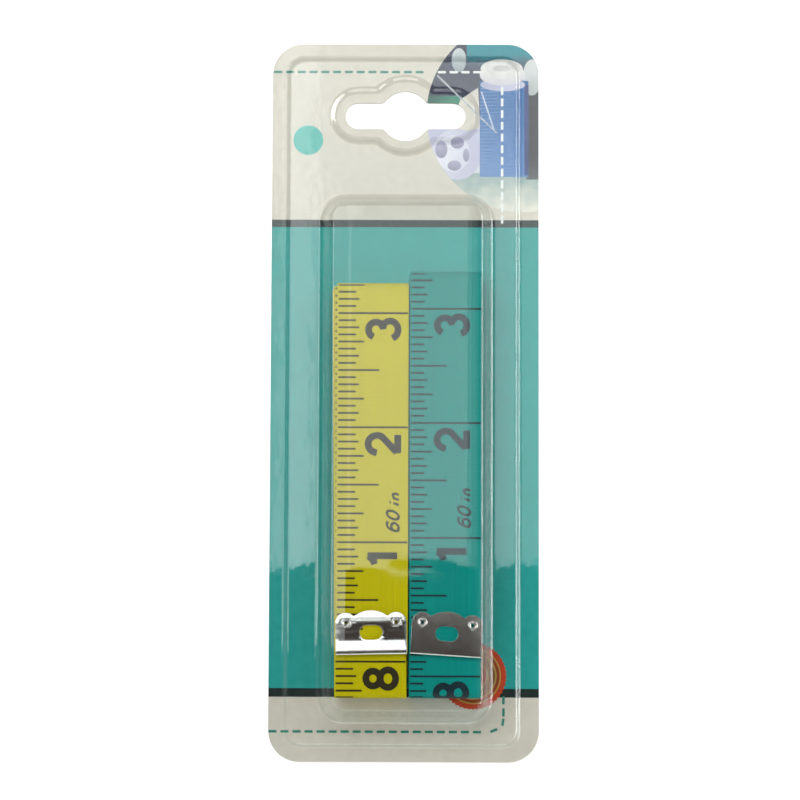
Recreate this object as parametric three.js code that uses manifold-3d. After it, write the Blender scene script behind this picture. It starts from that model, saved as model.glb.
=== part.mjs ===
// Two cloth tape measures in their blister pack, lying on its back.
// Millimetres, +Z up out of the front of the pack, +X to the right and +Y towards the hang slot.
// The origin is the middle of the card's back face.
//
// Each tape is one ribbon, wound flat from a clip in its core to the clip at its zero end.
// The pack is a printed card with a clear sheet formed over it: a flange that is sealed to the card,
// a low raised plateau, a tall pocket for the two tapes and a recess round the punched hang slot.

import * as THREE from 'three';
import { mergeVertices } from 'three/addons/utils/BufferGeometryUtils.js';
import Module from 'manifold-3d';

const wasm = await Module();
wasm.setup();

// Driving dimensions of the tapes

const tapeLength = 1524;          // 60 inches
const tapeWidth = 15.875;         // five eighths of an inch
const tapeThickness = 0.3;
const windingGap = 0.41;          // air between two layers of a winding
const tapeSpacing = 0.375;        // between the edges of the two tapes
const leastFold = 0.4;            // radius of the tightest fold, at the middle of the tape
const endRamp = 9;                // length over which an end leaves its layer to make room for a clip
const endTail = 6;                // straight tape beyond the ramp before the last fold

// Each winding: its length, its outermost folds, how far its zero end lies above its foot,
// and the degrees that the clip there sits out of square

const yellowWindingLength = 92.0;
const yellowFoldRadius = 1.6;
const yellowZeroHeight = 9.6;
const yellowClipAngle = 1.2;
const tealWindingLength = 94.7;
const tealFoldRadius = 2.3;
const tealZeroHeight = 9.35;
const tealClipAngle = -3.6;

// The clips and their eyelets

const clipInset = 0.1375;         // from an edge of the tape to the clip's side
const clipHeight = 9.75;
const clipSheet = 0.3;
const clipFit = 0.03;             // between the tape and each leaf of a clip
const clipFold = 0.05;            // between the end of the tape and the fold's curve
const clipAir = 0.2;              // between a clip's eyelets and the next layer of tape
const earRadius = 2.25;
const eyeletHeight = 7.1;         // from the folded edge up to the eyelets
const lobeRadius = 6.2;           // of the raised middle of the clip's top edge
const slotWidth = 5.0;
const slotHeight = 3.2;
const slotPlace = 4.9;            // from the folded edge up to the middle of the slot
const eyeletBore = 0.45;
const eyeletBarrel = 0.75;
const eyeletRim = 1.1;
const eyeletRimHeight = 0.2;
const eyeletFit = 0.1;            // round the barrel
const eyeletSeat = 0.02;          // under a rim

// The pack

const cardThickness = 0.5;
const plasticSheet = 0.4;
const restGap = 0.3;              // between the card and the windings
const roofGap = 0.3;              // between the eyelets and the roof of the pocket
const yellowSideGap = 2.66;       // from the yellow tape to the pocket's wall, at the roof
const tealSideGap = 0.41;
const footGap = 2.45;             // from the windings' foot to the pocket's end wall, at the roof
const headSpace = 15.0;           // from the longer winding's head to the pocket's other end wall
const sideRun = 1.65;             // how far a side wall leans
const endRun = 3.2;
const pocketBaseRadius = 6.5;
const pocketRoofRadius = 3.6;
const roofFillet = 1.2;
const baseFillet = 1.0;
const plateauRise = 1.0;
const plateauRun = 1.2;
const plateauRadius = 3.6;
const sideLand = 6.5;             // plateau beside the pocket
const footLand = 4.5;
const headLand = 30.9;
const flangeWidth = 3.1;
const packRadius = 7.0;

// The hang slot: a round hole with an arm on each side

const hangSlotDrop = 16.6;        // from the pack's top edge down to the middle of the slot
const hangSlotHalf = 13.75;
const hangArmHalf = 3.0;
const hangHole = 5.75;
const hangCorner = 1.0;
const recessCorner = 1.5;
const landWidth = 2.2;            // flat land round the slot
const recessRun = 1.2;            // how far the wall round the land leans

const overrun = 1.0;              // how far a cutter passes the faces that it cuts

// Counts

const cornerSteps = 8;
const filletSteps = 4;
const foldSteps = 4;
const rampSteps = 6;
const roundSteps = 16;

// Worked out from the sizes above

const pitch = tapeThickness + windingGap;
const clipWidth = tapeWidth - 2 * clipInset;
const eyeletSide = clipWidth / 2 - earRadius;
const clipReach = tapeThickness / 2 + clipFit + clipSheet;
const eyeletReach = clipReach + eyeletSeat + eyeletRimHeight;
const clearLayer = eyeletReach + clipAir + tapeThickness / 2;
const endOffset = Math.max(clearLayer - pitch, 0);
const clipInside = clipReach + clipFold;
const tailLength = clipHeight + endRamp + endTail;

const tapes = [
  {
    name: 'yellow',
    colour: 0xd2cf3e,
    windingLength: yellowWindingLength,
    foldRadius: yellowFoldRadius,
    zeroHeight: yellowZeroHeight,
    clipAngle: yellowClipAngle,
  },
  {
    name: 'teal',
    colour: 0x1f9d8c,
    windingLength: tealWindingLength,
    foldRadius: tealFoldRadius,
    zeroHeight: tealZeroHeight,
    clipAngle: tealClipAngle,
  },
];

// Solids and meshes

function solid(geometry) {
  const bare = geometry.clone();
  bare.deleteAttribute('normal');
  bare.deleteAttribute('uv');
  const merged = mergeVertices(bare);
  return new wasm.Manifold(new wasm.Mesh({
    numProp: 3,
    vertProperties: new Float32Array(merged.attributes.position.array),
    triVerts: new Uint32Array(merged.index.array),
  }));
}

function geometryOf(manifold) {
  const mesh = manifold.getMesh();
  const geometry = new THREE.BufferGeometry();
  geometry.setAttribute('position', new THREE.BufferAttribute(mesh.vertProperties, 3));
  geometry.setIndex(new THREE.BufferAttribute(mesh.triVerts, 1));
  geometry.computeVertexNormals();
  return geometry;
}

function node(name, geometry, { color, roughness, metalness = 0, opacity = 1 }) {
  const material = new THREE.MeshStandardMaterial({
    color, roughness, metalness, opacity, transparent: opacity < 1,
  });
  const mesh = new THREE.Mesh(geometry, material);
  mesh.name = name;
  return mesh;
}

// Joins rings of points, lowest first and each anticlockwise from above, and closes both ends.
function loft(rings) {
  const count = rings[0].length;
  const positions = rings.flat().flatMap((point) => point.toArray());
  const faces = [];
  for (let ring = 0; ring < rings.length - 1; ring += 1) {
    for (let i = 0; i < count; i += 1) {
      const a = ring * count + i;
      const b = ring * count + (i + 1) % count;
      faces.push(a, b, b + count, a, b + count, a + count);
    }
  }
  const cap = (ring) => THREE.ShapeUtils.triangulateShape(
    ring.map(({ x, y }) => new THREE.Vector2(x, y)), [],
  );
  const top = (rings.length - 1) * count;
  cap(rings[0]).forEach(([a, b, c]) => faces.push(a, c, b));
  cap(rings.at(-1)).forEach(([a, b, c]) => faces.push(top + a, top + b, top + c));
  const geometry = new THREE.BufferGeometry();
  geometry.setAttribute('position', new THREE.Float32BufferAttribute(positions, 3));
  geometry.setIndex(faces);
  geometry.computeVertexNormals();
  return geometry;
}

function arcPoints(centreX, centreY, radius, from, to, z, steps = cornerSteps) {
  const points = [];
  for (let i = 0; i <= steps; i += 1) {
    const angle = from + (to - from) * i / steps;
    const x = centreX + radius * Math.cos(angle);
    points.push(new THREE.Vector3(x, centreY + radius * Math.sin(angle), z));
  }
  return points;
}

function rectangleRing({ half, low, high, radius }, z) {
  const quarter = Math.PI / 2;
  const corners = [[1, high - radius], [-1, high - radius], [-1, low + radius], [1, low + radius]];
  return corners.flatMap(([side, y], i) => arcPoints(
    side * (half - radius), y, radius, i * quarter, (i + 1) * quarter, z,
  ));
}

// The outline of the hang slot, grown by an offset, as a ring at height z.
function hangSlotRing(middleY, offset, corner, z) {
  const arm = hangArmHalf + offset;
  const hole = hangHole + offset;
  const armX = hangSlotHalf - hangArmHalf;
  const cornerX = Math.sqrt((hole + corner) ** 2 - (arm + corner) ** 2);
  const lean = Math.atan2(arm + corner, cornerX);
  const half = (turn) => [
    ...arcPoints(armX, 0, arm, -Math.PI / 2, Math.PI / 2, 0),
    ...arcPoints(cornerX, arm + corner, corner, -Math.PI / 2, lean - Math.PI, 0, filletSteps),
    ...arcPoints(0, 0, hole, lean, Math.PI - lean, 0).slice(1, -1),
    ...arcPoints(-cornerX, arm + corner, corner, -lean, -Math.PI / 2, 0, filletSteps),
  ].map((point) => point.applyAxisAngle(new THREE.Vector3(0, 0, 1), turn));
  return [...half(0), ...half(Math.PI)].map(({ x, y }) => new THREE.Vector3(x, middleY + y, z));
}

function rod(radius, height, x, y, z) {
  const geometry = new THREE.CylinderGeometry(radius, radius, height, roundSteps);
  geometry.rotateX(Math.PI / 2);
  geometry.translate(x, y, z);
  return solid(geometry);
}

// A winding is a flat spiral in the YZ plane. Run 0 is the outer layer of the front face, run 1 the outer
// layer of the back, run 2 the next layer of the front, and so on, with a fold after each run. Every layer
// and fold lies one pitch inside the one before. The last two folds may be drawn in further.

function windingPath(tape, lastRun, drawnIn) {
  const outer = clearLayer + Math.floor((lastRun - 1) / 2) * pitch;
  const halfLength = (tape.windingLength - tapeThickness) / 2;
  const layer = (run) => outer - Math.floor(run / 2) * pitch;
  const place = (fold) => halfLength - Math.floor(fold / 2) * pitch
    - (drawnIn[lastRun - 1 - fold] ?? 0);
  const span = (fold) => layer(fold) + layer(fold + 1);
  const radius = (fold) => Math.min(
    Math.max(tape.foldRadius - Math.floor(fold / 2) * pitch, leastFold),
    span(fold) / 2,
  );
  const stations = [];
  let y = tape.zeroHeight - tape.windingLength / 2;
  let z = outer;
  let heading = 0;
  let along = 0;
  const mark = () => stations.push({ y, z, heading, along });
  const advance = (length) => {
    y += length * Math.cos(heading);
    z += length * Math.sin(heading);
    along += length;
    mark();
  };
  const bend = (bendRadius) => {
    const turn = Math.PI / 2 / foldSteps;
    for (let i = 0; i < foldSteps; i += 1) {
      const middle = heading - turn / 2;
      const chord = 2 * bendRadius * Math.sin(turn / 2);
      y += chord * Math.cos(middle);
      z += chord * Math.sin(middle);
      heading -= turn;
      along += bendRadius * turn;
      mark();
    }
  };
  mark();
  for (let fold = 0; fold < lastRun; fold += 1) {
    const from = fold === 0 ? y : radius(fold - 1) - place(fold - 1);
    advance(place(fold) - radius(fold) - from);
    bend(radius(fold));
    advance(span(fold) - 2 * radius(fold));
    bend(radius(fold));
  }
  const room = place(lastRun - 1) - radius(lastRun - 1) + place(lastRun) - radius(lastRun);
  return { stations, outer, used: along, room };
}

// Adds runs until the tape ends in one. Where too little tape is left to lie flat past the last fold,
// that fold is drawn in, and the fold before it too if the end would run into it.
function wind(tape) {
  let lastRun = 2;
  let path = windingPath(tape, lastRun, []);
  while (path.used + path.room < tapeLength) {
    lastRun += 1;
    path = windingPath(tape, lastRun, []);
  }
  const missing = Math.max(tailLength - (tapeLength - path.used), 0);
  const earlier = Math.max(missing + tailLength - path.room, 0);
  if (missing > 0) {
    path = windingPath(tape, lastRun, [Math.max(missing - 2 * earlier, 0), earlier]);
  }
  const last = path.stations.at(-1);
  const tail = tapeLength - path.used;
  path.end = { ...last, y: last.y + tail * Math.cos(last.heading), along: last.along + tail };
  path.innerLayer = Math.abs(last.z);
  return path;
}

// Points along a straight run, with more of them where an end leaves its layer.
function rampStations(from, to, rampStart) {
  const places = [from.along, rampStart];
  for (let i = 1; i <= rampSteps; i += 1) {
    places.push(rampStart + endRamp * i / rampSteps);
  }
  places.push(to.along);
  return places.map((along) => ({
    ...from, along, y: from.y + (along - from.along) * Math.cos(from.heading),
  }));
}

function ease(share) {
  const within = Math.min(Math.max(share, 0), 1);
  return within * within * (3 - 2 * within);
}

// Every station of the tape with its offset from its layer: outwards at the zero end, and inwards
// to the middle of the core at the other.
function tapeStations(path) {
  const [zero, firstFold] = path.stations;
  const firstRamp = zero.along + clipHeight;
  const lastRamp = path.end.along - clipHeight - endRamp;
  const stations = [
    ...rampStations(zero, firstFold, firstRamp),
    ...path.stations.slice(2, -1),
    ...rampStations(path.stations.at(-1), path.end, lastRamp),
  ];
  stations.forEach((station) => {
    const lifted = endOffset * (1 - ease((station.along - firstRamp) / endRamp));
    const sunk = path.innerLayer * ease((station.along - lastRamp) / endRamp);
    station.offset = lifted - sunk;
  });
  return stations;
}

function ribbon(stations, startInset, endInset) {
  const positions = [];
  const faces = [];
  stations.forEach(({ y, z, heading, offset }, index) => {
    const inset = index === 0 ? startInset : index === stations.length - 1 ? -endInset : 0;
    const middleY = y + inset * Math.cos(heading);
    const corners = [[-1, 1], [1, 1], [1, -1], [-1, -1]];
    corners.forEach(([side, face]) => {
      const out = offset + face * tapeThickness / 2;
      const pointY = middleY - out * Math.sin(heading);
      positions.push(side * tapeWidth / 2, pointY, z + out * Math.cos(heading));
    });
  });
  const last = (stations.length - 1) * 4;
  for (let ring = 0; ring < last; ring += 4) {
    for (let i = 0; i < 4; i += 1) {
      const next = (i + 1) % 4;
      faces.push(ring + i, ring + next, ring + 4 + next, ring + i, ring + 4 + next, ring + 4 + i);
    }
  }
  faces.push(0, 2, 1, 0, 3, 2, last, last + 1, last + 2, last, last + 2, last + 3);
  const geometry = new THREE.BufferGeometry();
  geometry.setAttribute('position', new THREE.Float32BufferAttribute(positions, 3));
  geometry.setIndex(faces);
  return geometry;
}

// The least gap between two layers of a winding, measured between points along its middle.
function leastGap(stations) {
  const points = [];
  for (let i = 1; i < stations.length; i += 1) {
    const a = stations[i - 1];
    const b = stations[i];
    const pieces = Math.max(Math.round((b.along - a.along) / pitch), 1);
    for (let j = 0; j < pieces; j += 1) {
      const share = j / pieces;
      const [first, second] = [a, b].map((station) => ({
        y: station.y - station.offset * Math.sin(station.heading),
        z: station.z + station.offset * Math.cos(station.heading),
      }));
      points.push({
        along: a.along + (b.along - a.along) * share,
        y: first.y + (second.y - first.y) * share,
        z: first.z + (second.z - first.z) * share,
      });
    }
  }
  const apart = 3 * clearLayer;
  let least = Infinity;
  points.forEach((a, i) => {
    for (let j = i + 1; j < points.length; j += 1) {
      const b = points[j];
      if (b.along - a.along > apart) {
        least = Math.min(least, Math.hypot(a.y - b.y, a.z - b.z));
      }
    }
  });
  return least - tapeThickness;
}

// A clip is a folded sheet. Its folded edge is on y = 0, it reaches up along +y, and the middle of the
// tape between its leaves is on z = 0.

function clipOutline() {
  const shape = new THREE.Shape();
  const half = clipWidth / 2;
  const lobeBottom = clipHeight - lobeRadius;
  // Where an ear's circle meets the lobe's circle, between the two of them.
  const across = Math.hypot(eyeletSide, eyeletHeight - lobeBottom);
  const towards = (across ** 2 + lobeRadius ** 2 - earRadius ** 2) / (2 * across);
  const bearing = Math.atan2(eyeletHeight - lobeBottom, eyeletSide);
  const meeting = bearing + Math.acos(towards / lobeRadius);
  const meetX = lobeRadius * Math.cos(meeting);
  const meetY = lobeBottom + lobeRadius * Math.sin(meeting);
  const earMeets = Math.atan2(meetY - eyeletHeight, meetX - eyeletSide);
  shape.moveTo(-half, -overrun);
  shape.lineTo(half, -overrun);
  shape.lineTo(half, eyeletHeight);
  shape.absarc(half - earRadius, eyeletHeight, earRadius, 0, earMeets, false);
  shape.absarc(0, lobeBottom, lobeRadius, meeting, Math.PI - meeting, false);
  shape.absarc(earRadius - half, eyeletHeight, earRadius, Math.PI - earMeets, Math.PI, false);
  shape.lineTo(-half, -overrun);
  return shape;
}

function clipSlot() {
  const shape = new THREE.Shape();
  const end = (slotWidth - slotHeight) / 2;
  shape.absarc(end, slotPlace, slotHeight / 2, -Math.PI / 2, Math.PI / 2, false);
  shape.absarc(-end, slotPlace, slotHeight / 2, Math.PI / 2, Math.PI * 1.5, false);
  return shape;
}

function clipProfile() {
  const inside = tapeThickness / 2 + clipFit;
  const shape = new THREE.Shape();
  shape.moveTo(clipHeight + overrun, clipReach);
  shape.lineTo(clipReach, clipReach);
  shape.absarc(clipReach, 0, clipReach, Math.PI / 2, Math.PI * 1.5, false);
  shape.lineTo(clipHeight + overrun, -clipReach);
  shape.lineTo(clipHeight + overrun, -inside);
  shape.lineTo(clipReach, -inside);
  shape.absarc(clipReach, 0, inside, Math.PI * 1.5, Math.PI / 2, true);
  shape.lineTo(clipHeight + overrun, inside);
  return shape;
}

function clipGeometry(slotted) {
  const depth = clipWidth + 2 * overrun;
  const folded = new THREE.ExtrudeGeometry(clipProfile(), {
    depth, bevelEnabled: false, curveSegments: foldSteps,
  });
  // The profile is drawn in y and z, and its depth becomes x.
  folded.applyMatrix4(new THREE.Matrix4().makeBasis(
    new THREE.Vector3(0, 1, 0), new THREE.Vector3(0, 0, 1), new THREE.Vector3(1, 0, 0),
  ));
  folded.translate(-depth / 2, 0, 0);
  const prism = (shape) => {
    const geometry = new THREE.ExtrudeGeometry(shape, {
      depth: 2 * (clipReach + overrun), bevelEnabled: false, curveSegments: cornerSteps,
    });
    geometry.translate(0, 0, -clipReach - overrun);
    return solid(geometry);
  };
  let clip = solid(folded).intersect(prism(clipOutline()));
  if (slotted) {
    clip = clip.subtract(prism(clipSlot()));
  }
  eyeletPlaces().forEach(([x, y]) => {
    clip = clip.subtract(rod(eyeletBarrel + eyeletFit, 2 * (clipReach + overrun), x, y, 0));
  });
  return geometryOf(clip);
}

function eyeletPlaces() {
  return [[-eyeletSide, eyeletHeight], [eyeletSide, eyeletHeight]];
}

// A hollow rivet: a barrel with a rim over each leaf of the clip.
function eyeletGeometry() {
  const seat = clipReach + eyeletSeat;
  const shoulder = eyeletRimHeight / 2;
  const profile = [
    [eyeletBore, -eyeletReach],
    [eyeletRim - shoulder, -eyeletReach],
    [eyeletRim, -eyeletReach + shoulder],
    [eyeletRim, -seat],
    [eyeletBarrel, -seat],
    [eyeletBarrel, seat],
    [eyeletRim, seat],
    [eyeletRim, eyeletReach - shoulder],
    [eyeletRim - shoulder, eyeletReach],
    [eyeletBore + shoulder, eyeletReach],
    [eyeletBore, eyeletReach - shoulder],
    [eyeletBore, -eyeletReach],
  ].map(([radius, height]) => new THREE.Vector2(radius, height));
  const geometry = new THREE.LatheGeometry(profile, roundSteps);
  geometry.rotateX(Math.PI / 2);
  return geometry;
}

const steel = { color: 0xb9b6b2, roughness: 0.25, metalness: 1 };
const brightSteel = { color: 0xd8d6d2, roughness: 0.2, metalness: 1 };
const board = { color: 0x228a81, roughness: 0.55 };
const clearPlastic = { color: 0xeaf2f1, roughness: 0.1, opacity: 0.3 };

// The frame of a clip, with its folded edge at the tape's end and its leaves along the tape.
function clipFrame(y, z, turn) {
  const frame = new THREE.Group();
  frame.position.set(0, y, z);
  frame.rotation.z = turn;
  frame.updateMatrix();
  return frame;
}

// What a clip takes from the tape: the holes for its eyelets and, where the clip sits out of square,
// whatever is past the inside of its fold.
function clipCutters(frame, trimmed) {
  const cutters = [];
  if (trimmed) {
    const waste = new THREE.BoxGeometry(2 * tapeWidth, clipHeight, 2 * tapeThickness);
    waste.translate(0, clipInside - clipHeight / 2, 0);
    cutters.push(waste);
  }
  eyeletPlaces().forEach(([x, y]) => {
    const hole = new THREE.CylinderGeometry(
      eyeletBarrel + eyeletFit, eyeletBarrel + eyeletFit, 2 * tapeThickness, roundSteps,
    );
    hole.rotateX(Math.PI / 2);
    hole.translate(x, y, 0);
    cutters.push(hole);
  });
  return cutters.map((geometry) => solid(geometry.applyMatrix4(frame.matrix)));
}

function tapeMeasure(tape) {
  const path = wind(tape);
  const stations = tapeStations(path);
  const turn = THREE.MathUtils.degToRad(tape.clipAngle);
  const inwards = Math.sign(Math.cos(path.end.heading));
  const zeroFrame = clipFrame(tape.zeroHeight - tape.windingLength / 2, path.outer + endOffset, turn);
  const innerFrame = clipFrame(path.end.y + inwards * clipInside, 0, inwards > 0 ? Math.PI : 0);
  // The clip's skew takes a little off one corner of the zero end, so the ribbon starts short of it.
  const skew = tapeWidth / 2 * Math.abs(Math.sin(turn));
  let cloth = solid(ribbon(stations, clipInside - 2 * skew, 0));
  [...clipCutters(zeroFrame, true), ...clipCutters(innerFrame, false)].forEach((cutter) => {
    cloth = cloth.subtract(cutter);
  });
  const group = new THREE.Group();
  group.position.z = cardThickness + restGap + path.outer + tapeThickness / 2;
  group.add(node(`${tape.name}_tape`, geometryOf(cloth), { color: tape.colour, roughness: 0.6 }));
  [['zero', zeroFrame, true], ['inner', innerFrame, false]].forEach(([end, frame, slotted]) => {
    frame.add(node(`${tape.name}_${end}_clip`, clipGeometry(slotted), steel));
    eyeletPlaces().forEach(([x, y], side) => {
      const eyelet = node(`${tape.name}_${end}_eyelet_${side + 1}`, eyeletGeometry(), brightSteel);
      eyelet.position.set(x, y, 0);
      frame.add(eyelet);
    });
    group.add(frame);
  });
  group.top = group.position.z + path.outer + endOffset + eyeletReach;
  console.log(`${tape.name} winding: ${stations.at(-1).along.toFixed(1)} mm of tape,`
    + ` least gap ${leastGap(stations).toFixed(3)} mm, thickness`
    + ` ${(2 * path.outer + tapeThickness).toFixed(2)} mm`);
  return group;
}

// The pack's sizes across, from the pocket outwards

const longest = Math.max(...tapes.map((tape) => tape.windingLength));
const pairWidth = 2 * tapeWidth + tapeSpacing;
const innerRoofHalf = (pairWidth + yellowSideGap + tealSideGap) / 2;

// How far the inside face of a leaning wall of the sheet lies from its outside face, measured level.
function skin(run, rise) {
  return plasticSheet * (Math.hypot(run, rise) - run) / rise;
}

function packSizes(tapeTop) {
  const plateau = cardThickness + plasticSheet + plateauRise;
  const roof = tapeTop + roofGap + plasticSheet;
  const rise = roof - plateau;
  const roofHalf = innerRoofHalf + skin(sideRun, rise);
  const baseHalf = roofHalf + sideRun;
  const roofLength = headSpace + longest + footGap + 2 * skin(endRun, rise);
  const rim = flangeWidth + plateauRun;
  const halfWidth = baseHalf + sideLand + rim;
  const halfLength = (2 * rim + footLand + 2 * endRun + roofLength + headLand) / 2;
  const baseLow = rim + footLand - halfLength;
  const roofLow = baseLow + endRun;
  return {
    plateau,
    roof,
    rise,
    halfWidth,
    halfLength,
    base: { half: baseHalf, low: baseLow, high: roofLow + roofLength + endRun, radius: pocketBaseRadius },
    top: { half: roofHalf, low: roofLow, high: roofLow + roofLength, radius: pocketRoofRadius },
    foot: roofLow + skin(endRun, rise) + footGap,
    hangSlotY: halfLength - hangSlotDrop,
  };
}

function grown({ half, low, high, radius }, by, side = by) {
  return { half: half + side, low: low - by, high: high + by, radius: Math.max(radius + side, roofFillet) };
}

// The outside of the formed sheet, or with inset its inside, as a stack of rings from the card up.
function formedRings(sizes, inset) {
  const { plateau, roof, rise, halfWidth, halfLength, base, top } = sizes;
  const edge = { half: halfWidth, low: -halfLength, high: halfLength, radius: packRadius };
  const stepFoot = grown(edge, -flangeWidth);
  const stepHead = grown(edge, -flangeWidth - plateauRun);
  const step = inset * skin(plateauRun, plateauRise);
  const sideSkin = inset * skin(sideRun, rise);
  const endSkin = inset * skin(endRun, rise);
  const drop = inset * plasticSheet;
  const lowest = cardThickness;
  const rings = [];
  if (inset) {
    rings.push(rectangleRing(grown(stepFoot, -step), lowest - overrun));
    rings.push(rectangleRing(grown(stepFoot, -step), lowest));
  } else {
    rings.push(rectangleRing(edge, lowest));
    rings.push(rectangleRing(edge, lowest + plasticSheet));
    rings.push(rectangleRing(stepFoot, lowest + plasticSheet));
  }
  const head = { ...grown(stepHead, -step), radius: plateauRadius };
  rings.push(rectangleRing(head, plateau - drop));
  const baseCurve = baseFillet + drop;
  const roofCurve = roofFillet - drop;
  for (let i = 0; i < filletSteps; i += 1) {
    const angle = Math.PI / 2 * i / filletSteps;
    const out = baseCurve * (1 - Math.sin(angle));
    const up = baseCurve * (1 - Math.cos(angle));
    rings.push(rectangleRing(grown(base, out - endSkin, out - sideSkin), plateau - drop + up));
  }
  for (let i = 0; i <= filletSteps; i += 1) {
    const angle = Math.PI / 2 * i / filletSteps;
    const inwards = roofCurve * (1 - Math.cos(angle));
    const down = roofCurve * (1 - Math.sin(angle));
    rings.push(rectangleRing(grown(top, -inwards - endSkin, -inwards - sideSkin), roof - drop - down));
  }
  return rings;
}

// The wall round the hang slot's land, as the solid that is open above it, or with inset the solid under it.
function recess(sizes, inset) {
  const slope = inset * skin(recessRun, plateauRise);
  const drop = inset * plasticSheet;
  const low = cardThickness + plasticSheet - drop;
  const high = sizes.plateau - drop;
  const ring = (offset, z) => hangSlotRing(sizes.hangSlotY, offset, recessCorner, z);
  const rings = [ring(landWidth + slope, low), ring(landWidth + recessRun + slope, high)];
  if (inset) {
    rings.unshift(ring(landWidth + slope, low - 2 * overrun));
  }
  rings.push(ring(landWidth + recessRun + slope, high + overrun));
  return solid(loft(rings));
}

function hangSlotCutter(sizes) {
  const ring = (z) => hangSlotRing(sizes.hangSlotY, 0, hangCorner, z);
  return solid(loft([ring(-overrun), ring(sizes.plateau + overrun)]));
}

function blisterGeometry(sizes) {
  const outside = solid(loft(formedRings(sizes, 0))).subtract(recess(sizes, 0));
  const inside = solid(loft(formedRings(sizes, 1))).subtract(recess(sizes, 1));
  return geometryOf(outside.subtract(inside).subtract(hangSlotCutter(sizes)));
}

function cardGeometry(sizes) {
  const edge = { half: sizes.halfWidth, low: -sizes.halfLength, high: sizes.halfLength, radius: packRadius };
  const sheet = solid(loft([rectangleRing(edge, 0), rectangleRing(edge, cardThickness)]));
  return geometryOf(sheet.subtract(hangSlotCutter(sizes)));
}

// The assembly

function assemble() {
  const whole = new THREE.Group();
  const windings = tapes.map(tapeMeasure);
  const sizes = packSizes(Math.max(...windings.map(({ top }) => top)));
  windings.forEach((winding, index) => {
    winding.position.x = yellowSideGap - innerRoofHalf + tapeWidth / 2 + index * (tapeWidth + tapeSpacing);
    winding.position.y = sizes.foot + tapes[index].windingLength / 2;
    whole.add(winding);
  });
  whole.add(node('backing_card', cardGeometry(sizes), board));
  whole.add(node('front_blister', blisterGeometry(sizes), clearPlastic));
  return whole;
}

export default assemble();
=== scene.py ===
# %% [markdown]
# # Two cloth tape measures in their blister pack
#
# The pack is a printed card with a clear formed sheet over it, and two tapes wound flat inside.
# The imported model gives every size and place. This script dresses it, and moves nothing.

import math

import bmesh
import bpy
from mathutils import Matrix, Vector


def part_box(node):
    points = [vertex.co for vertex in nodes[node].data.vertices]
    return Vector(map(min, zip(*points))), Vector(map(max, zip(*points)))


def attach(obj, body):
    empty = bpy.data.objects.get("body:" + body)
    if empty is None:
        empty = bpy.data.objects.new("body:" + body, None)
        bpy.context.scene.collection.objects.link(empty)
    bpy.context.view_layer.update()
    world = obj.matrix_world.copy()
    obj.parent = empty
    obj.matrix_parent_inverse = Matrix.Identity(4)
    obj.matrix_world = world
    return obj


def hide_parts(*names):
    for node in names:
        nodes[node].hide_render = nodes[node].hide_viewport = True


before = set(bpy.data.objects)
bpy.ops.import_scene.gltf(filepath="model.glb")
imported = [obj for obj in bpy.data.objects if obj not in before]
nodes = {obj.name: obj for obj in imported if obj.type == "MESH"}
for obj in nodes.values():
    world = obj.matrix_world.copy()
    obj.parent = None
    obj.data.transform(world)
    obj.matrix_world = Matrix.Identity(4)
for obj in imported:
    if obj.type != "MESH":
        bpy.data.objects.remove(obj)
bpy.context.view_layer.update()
bpy.ops.object.select_all(action="DESELECT")

# %% [markdown]
# ## Units
#
# The frame is in metres, and the pieces are a few millimetres thick, so lengths are written in
# millimetres and multiplied by MM. A place that belongs to a node is read from its box instead.

# %% Units and places
MM = 0.001
INCH = 25.4

card_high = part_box("backing_card")[1]
half_width = card_high.x / MM
half_length = card_high.y / MM
card_face = card_high.z / MM
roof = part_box("front_blister")[1].z / MM
print("card:", round(2 * half_width, 1), "by", round(2 * half_length, 1), "mm, roof at", round(roof, 2))


def new_object(name, data):
    """Puts new data into the scene as an object."""
    made = bpy.data.objects.new(name, data)
    bpy.context.scene.collection.objects.link(made)
    return made


# %% [markdown]
# ## The camera
#
# The pack was photographed lying on its back, from just over half a metre above, with the camera a
# little nearer the foot and tilted a few degrees. A long lens keeps the walls of the pocket narrow.

# %% Camera
CAMERA_PLACE = (3.27, -39.98, 541.8)
CAMERA_TURN = (4.211, 0.455, 0.202)
FILM_WIDTH, LENS, NEAR_END = 36, 107.7, 50

camera_data = bpy.data.cameras.new("camera")
camera_data.sensor_width = FILM_WIDTH
camera_data.lens = LENS
camera_data.clip_start = NEAR_END * MM
camera = new_object("camera", camera_data)
camera.location = [axis * MM for axis in CAMERA_PLACE]
camera.rotation_mode = "ZXY"
camera.rotation_euler = [math.radians(angle) for angle in CAMERA_TURN]
bpy.context.scene.camera = camera
bpy.context.scene.view_settings.view_transform = "Standard"

# %% [markdown]
# ## Materials
#
# A colour is written as it would be read off a print, from 0 to 255, and stored in linear light.
# Every finish starts as a Principled shader, and its pattern comes from nodes. They could be made and
# linked one by one. A short helper does both here: a value that comes out of another node is linked.

# %% Colours
def linear(red, green, blue):
    """A printed colour in linear light, with full opacity."""
    shares = [value / 255 for value in (red, green, blue)]
    return [v / 12.92 if v < 0.04 else ((v + 0.055) / 1.055) ** 2.4 for v in shares] + [1.0]


def shade(colour, factor):
    """The same colour, lighter or darker."""
    return [min(value * factor, 1.0) for value in colour[:3]] + [1.0]


# %% Nodes
def feed(node, key, socket):
    """Links a socket to an input of a node that is already there."""
    node.id_data.links.new(socket, node.inputs[key])


def node_adder(tree):
    """A function that adds a node, sets its inputs and settings, and links what is a socket."""

    def add(kind, *inputs, **settings):
        node = tree.nodes.new("ShaderNode" + kind)
        for key, value in [*settings.items(), *enumerate(inputs)]:
            if isinstance(key, str) and key not in node.inputs:
                setattr(node, key, value)
            elif isinstance(value, bpy.types.NodeSocket):
                feed(node, key, value)
            else:
                node.inputs[key].default_value = value
        return node

    return add


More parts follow.
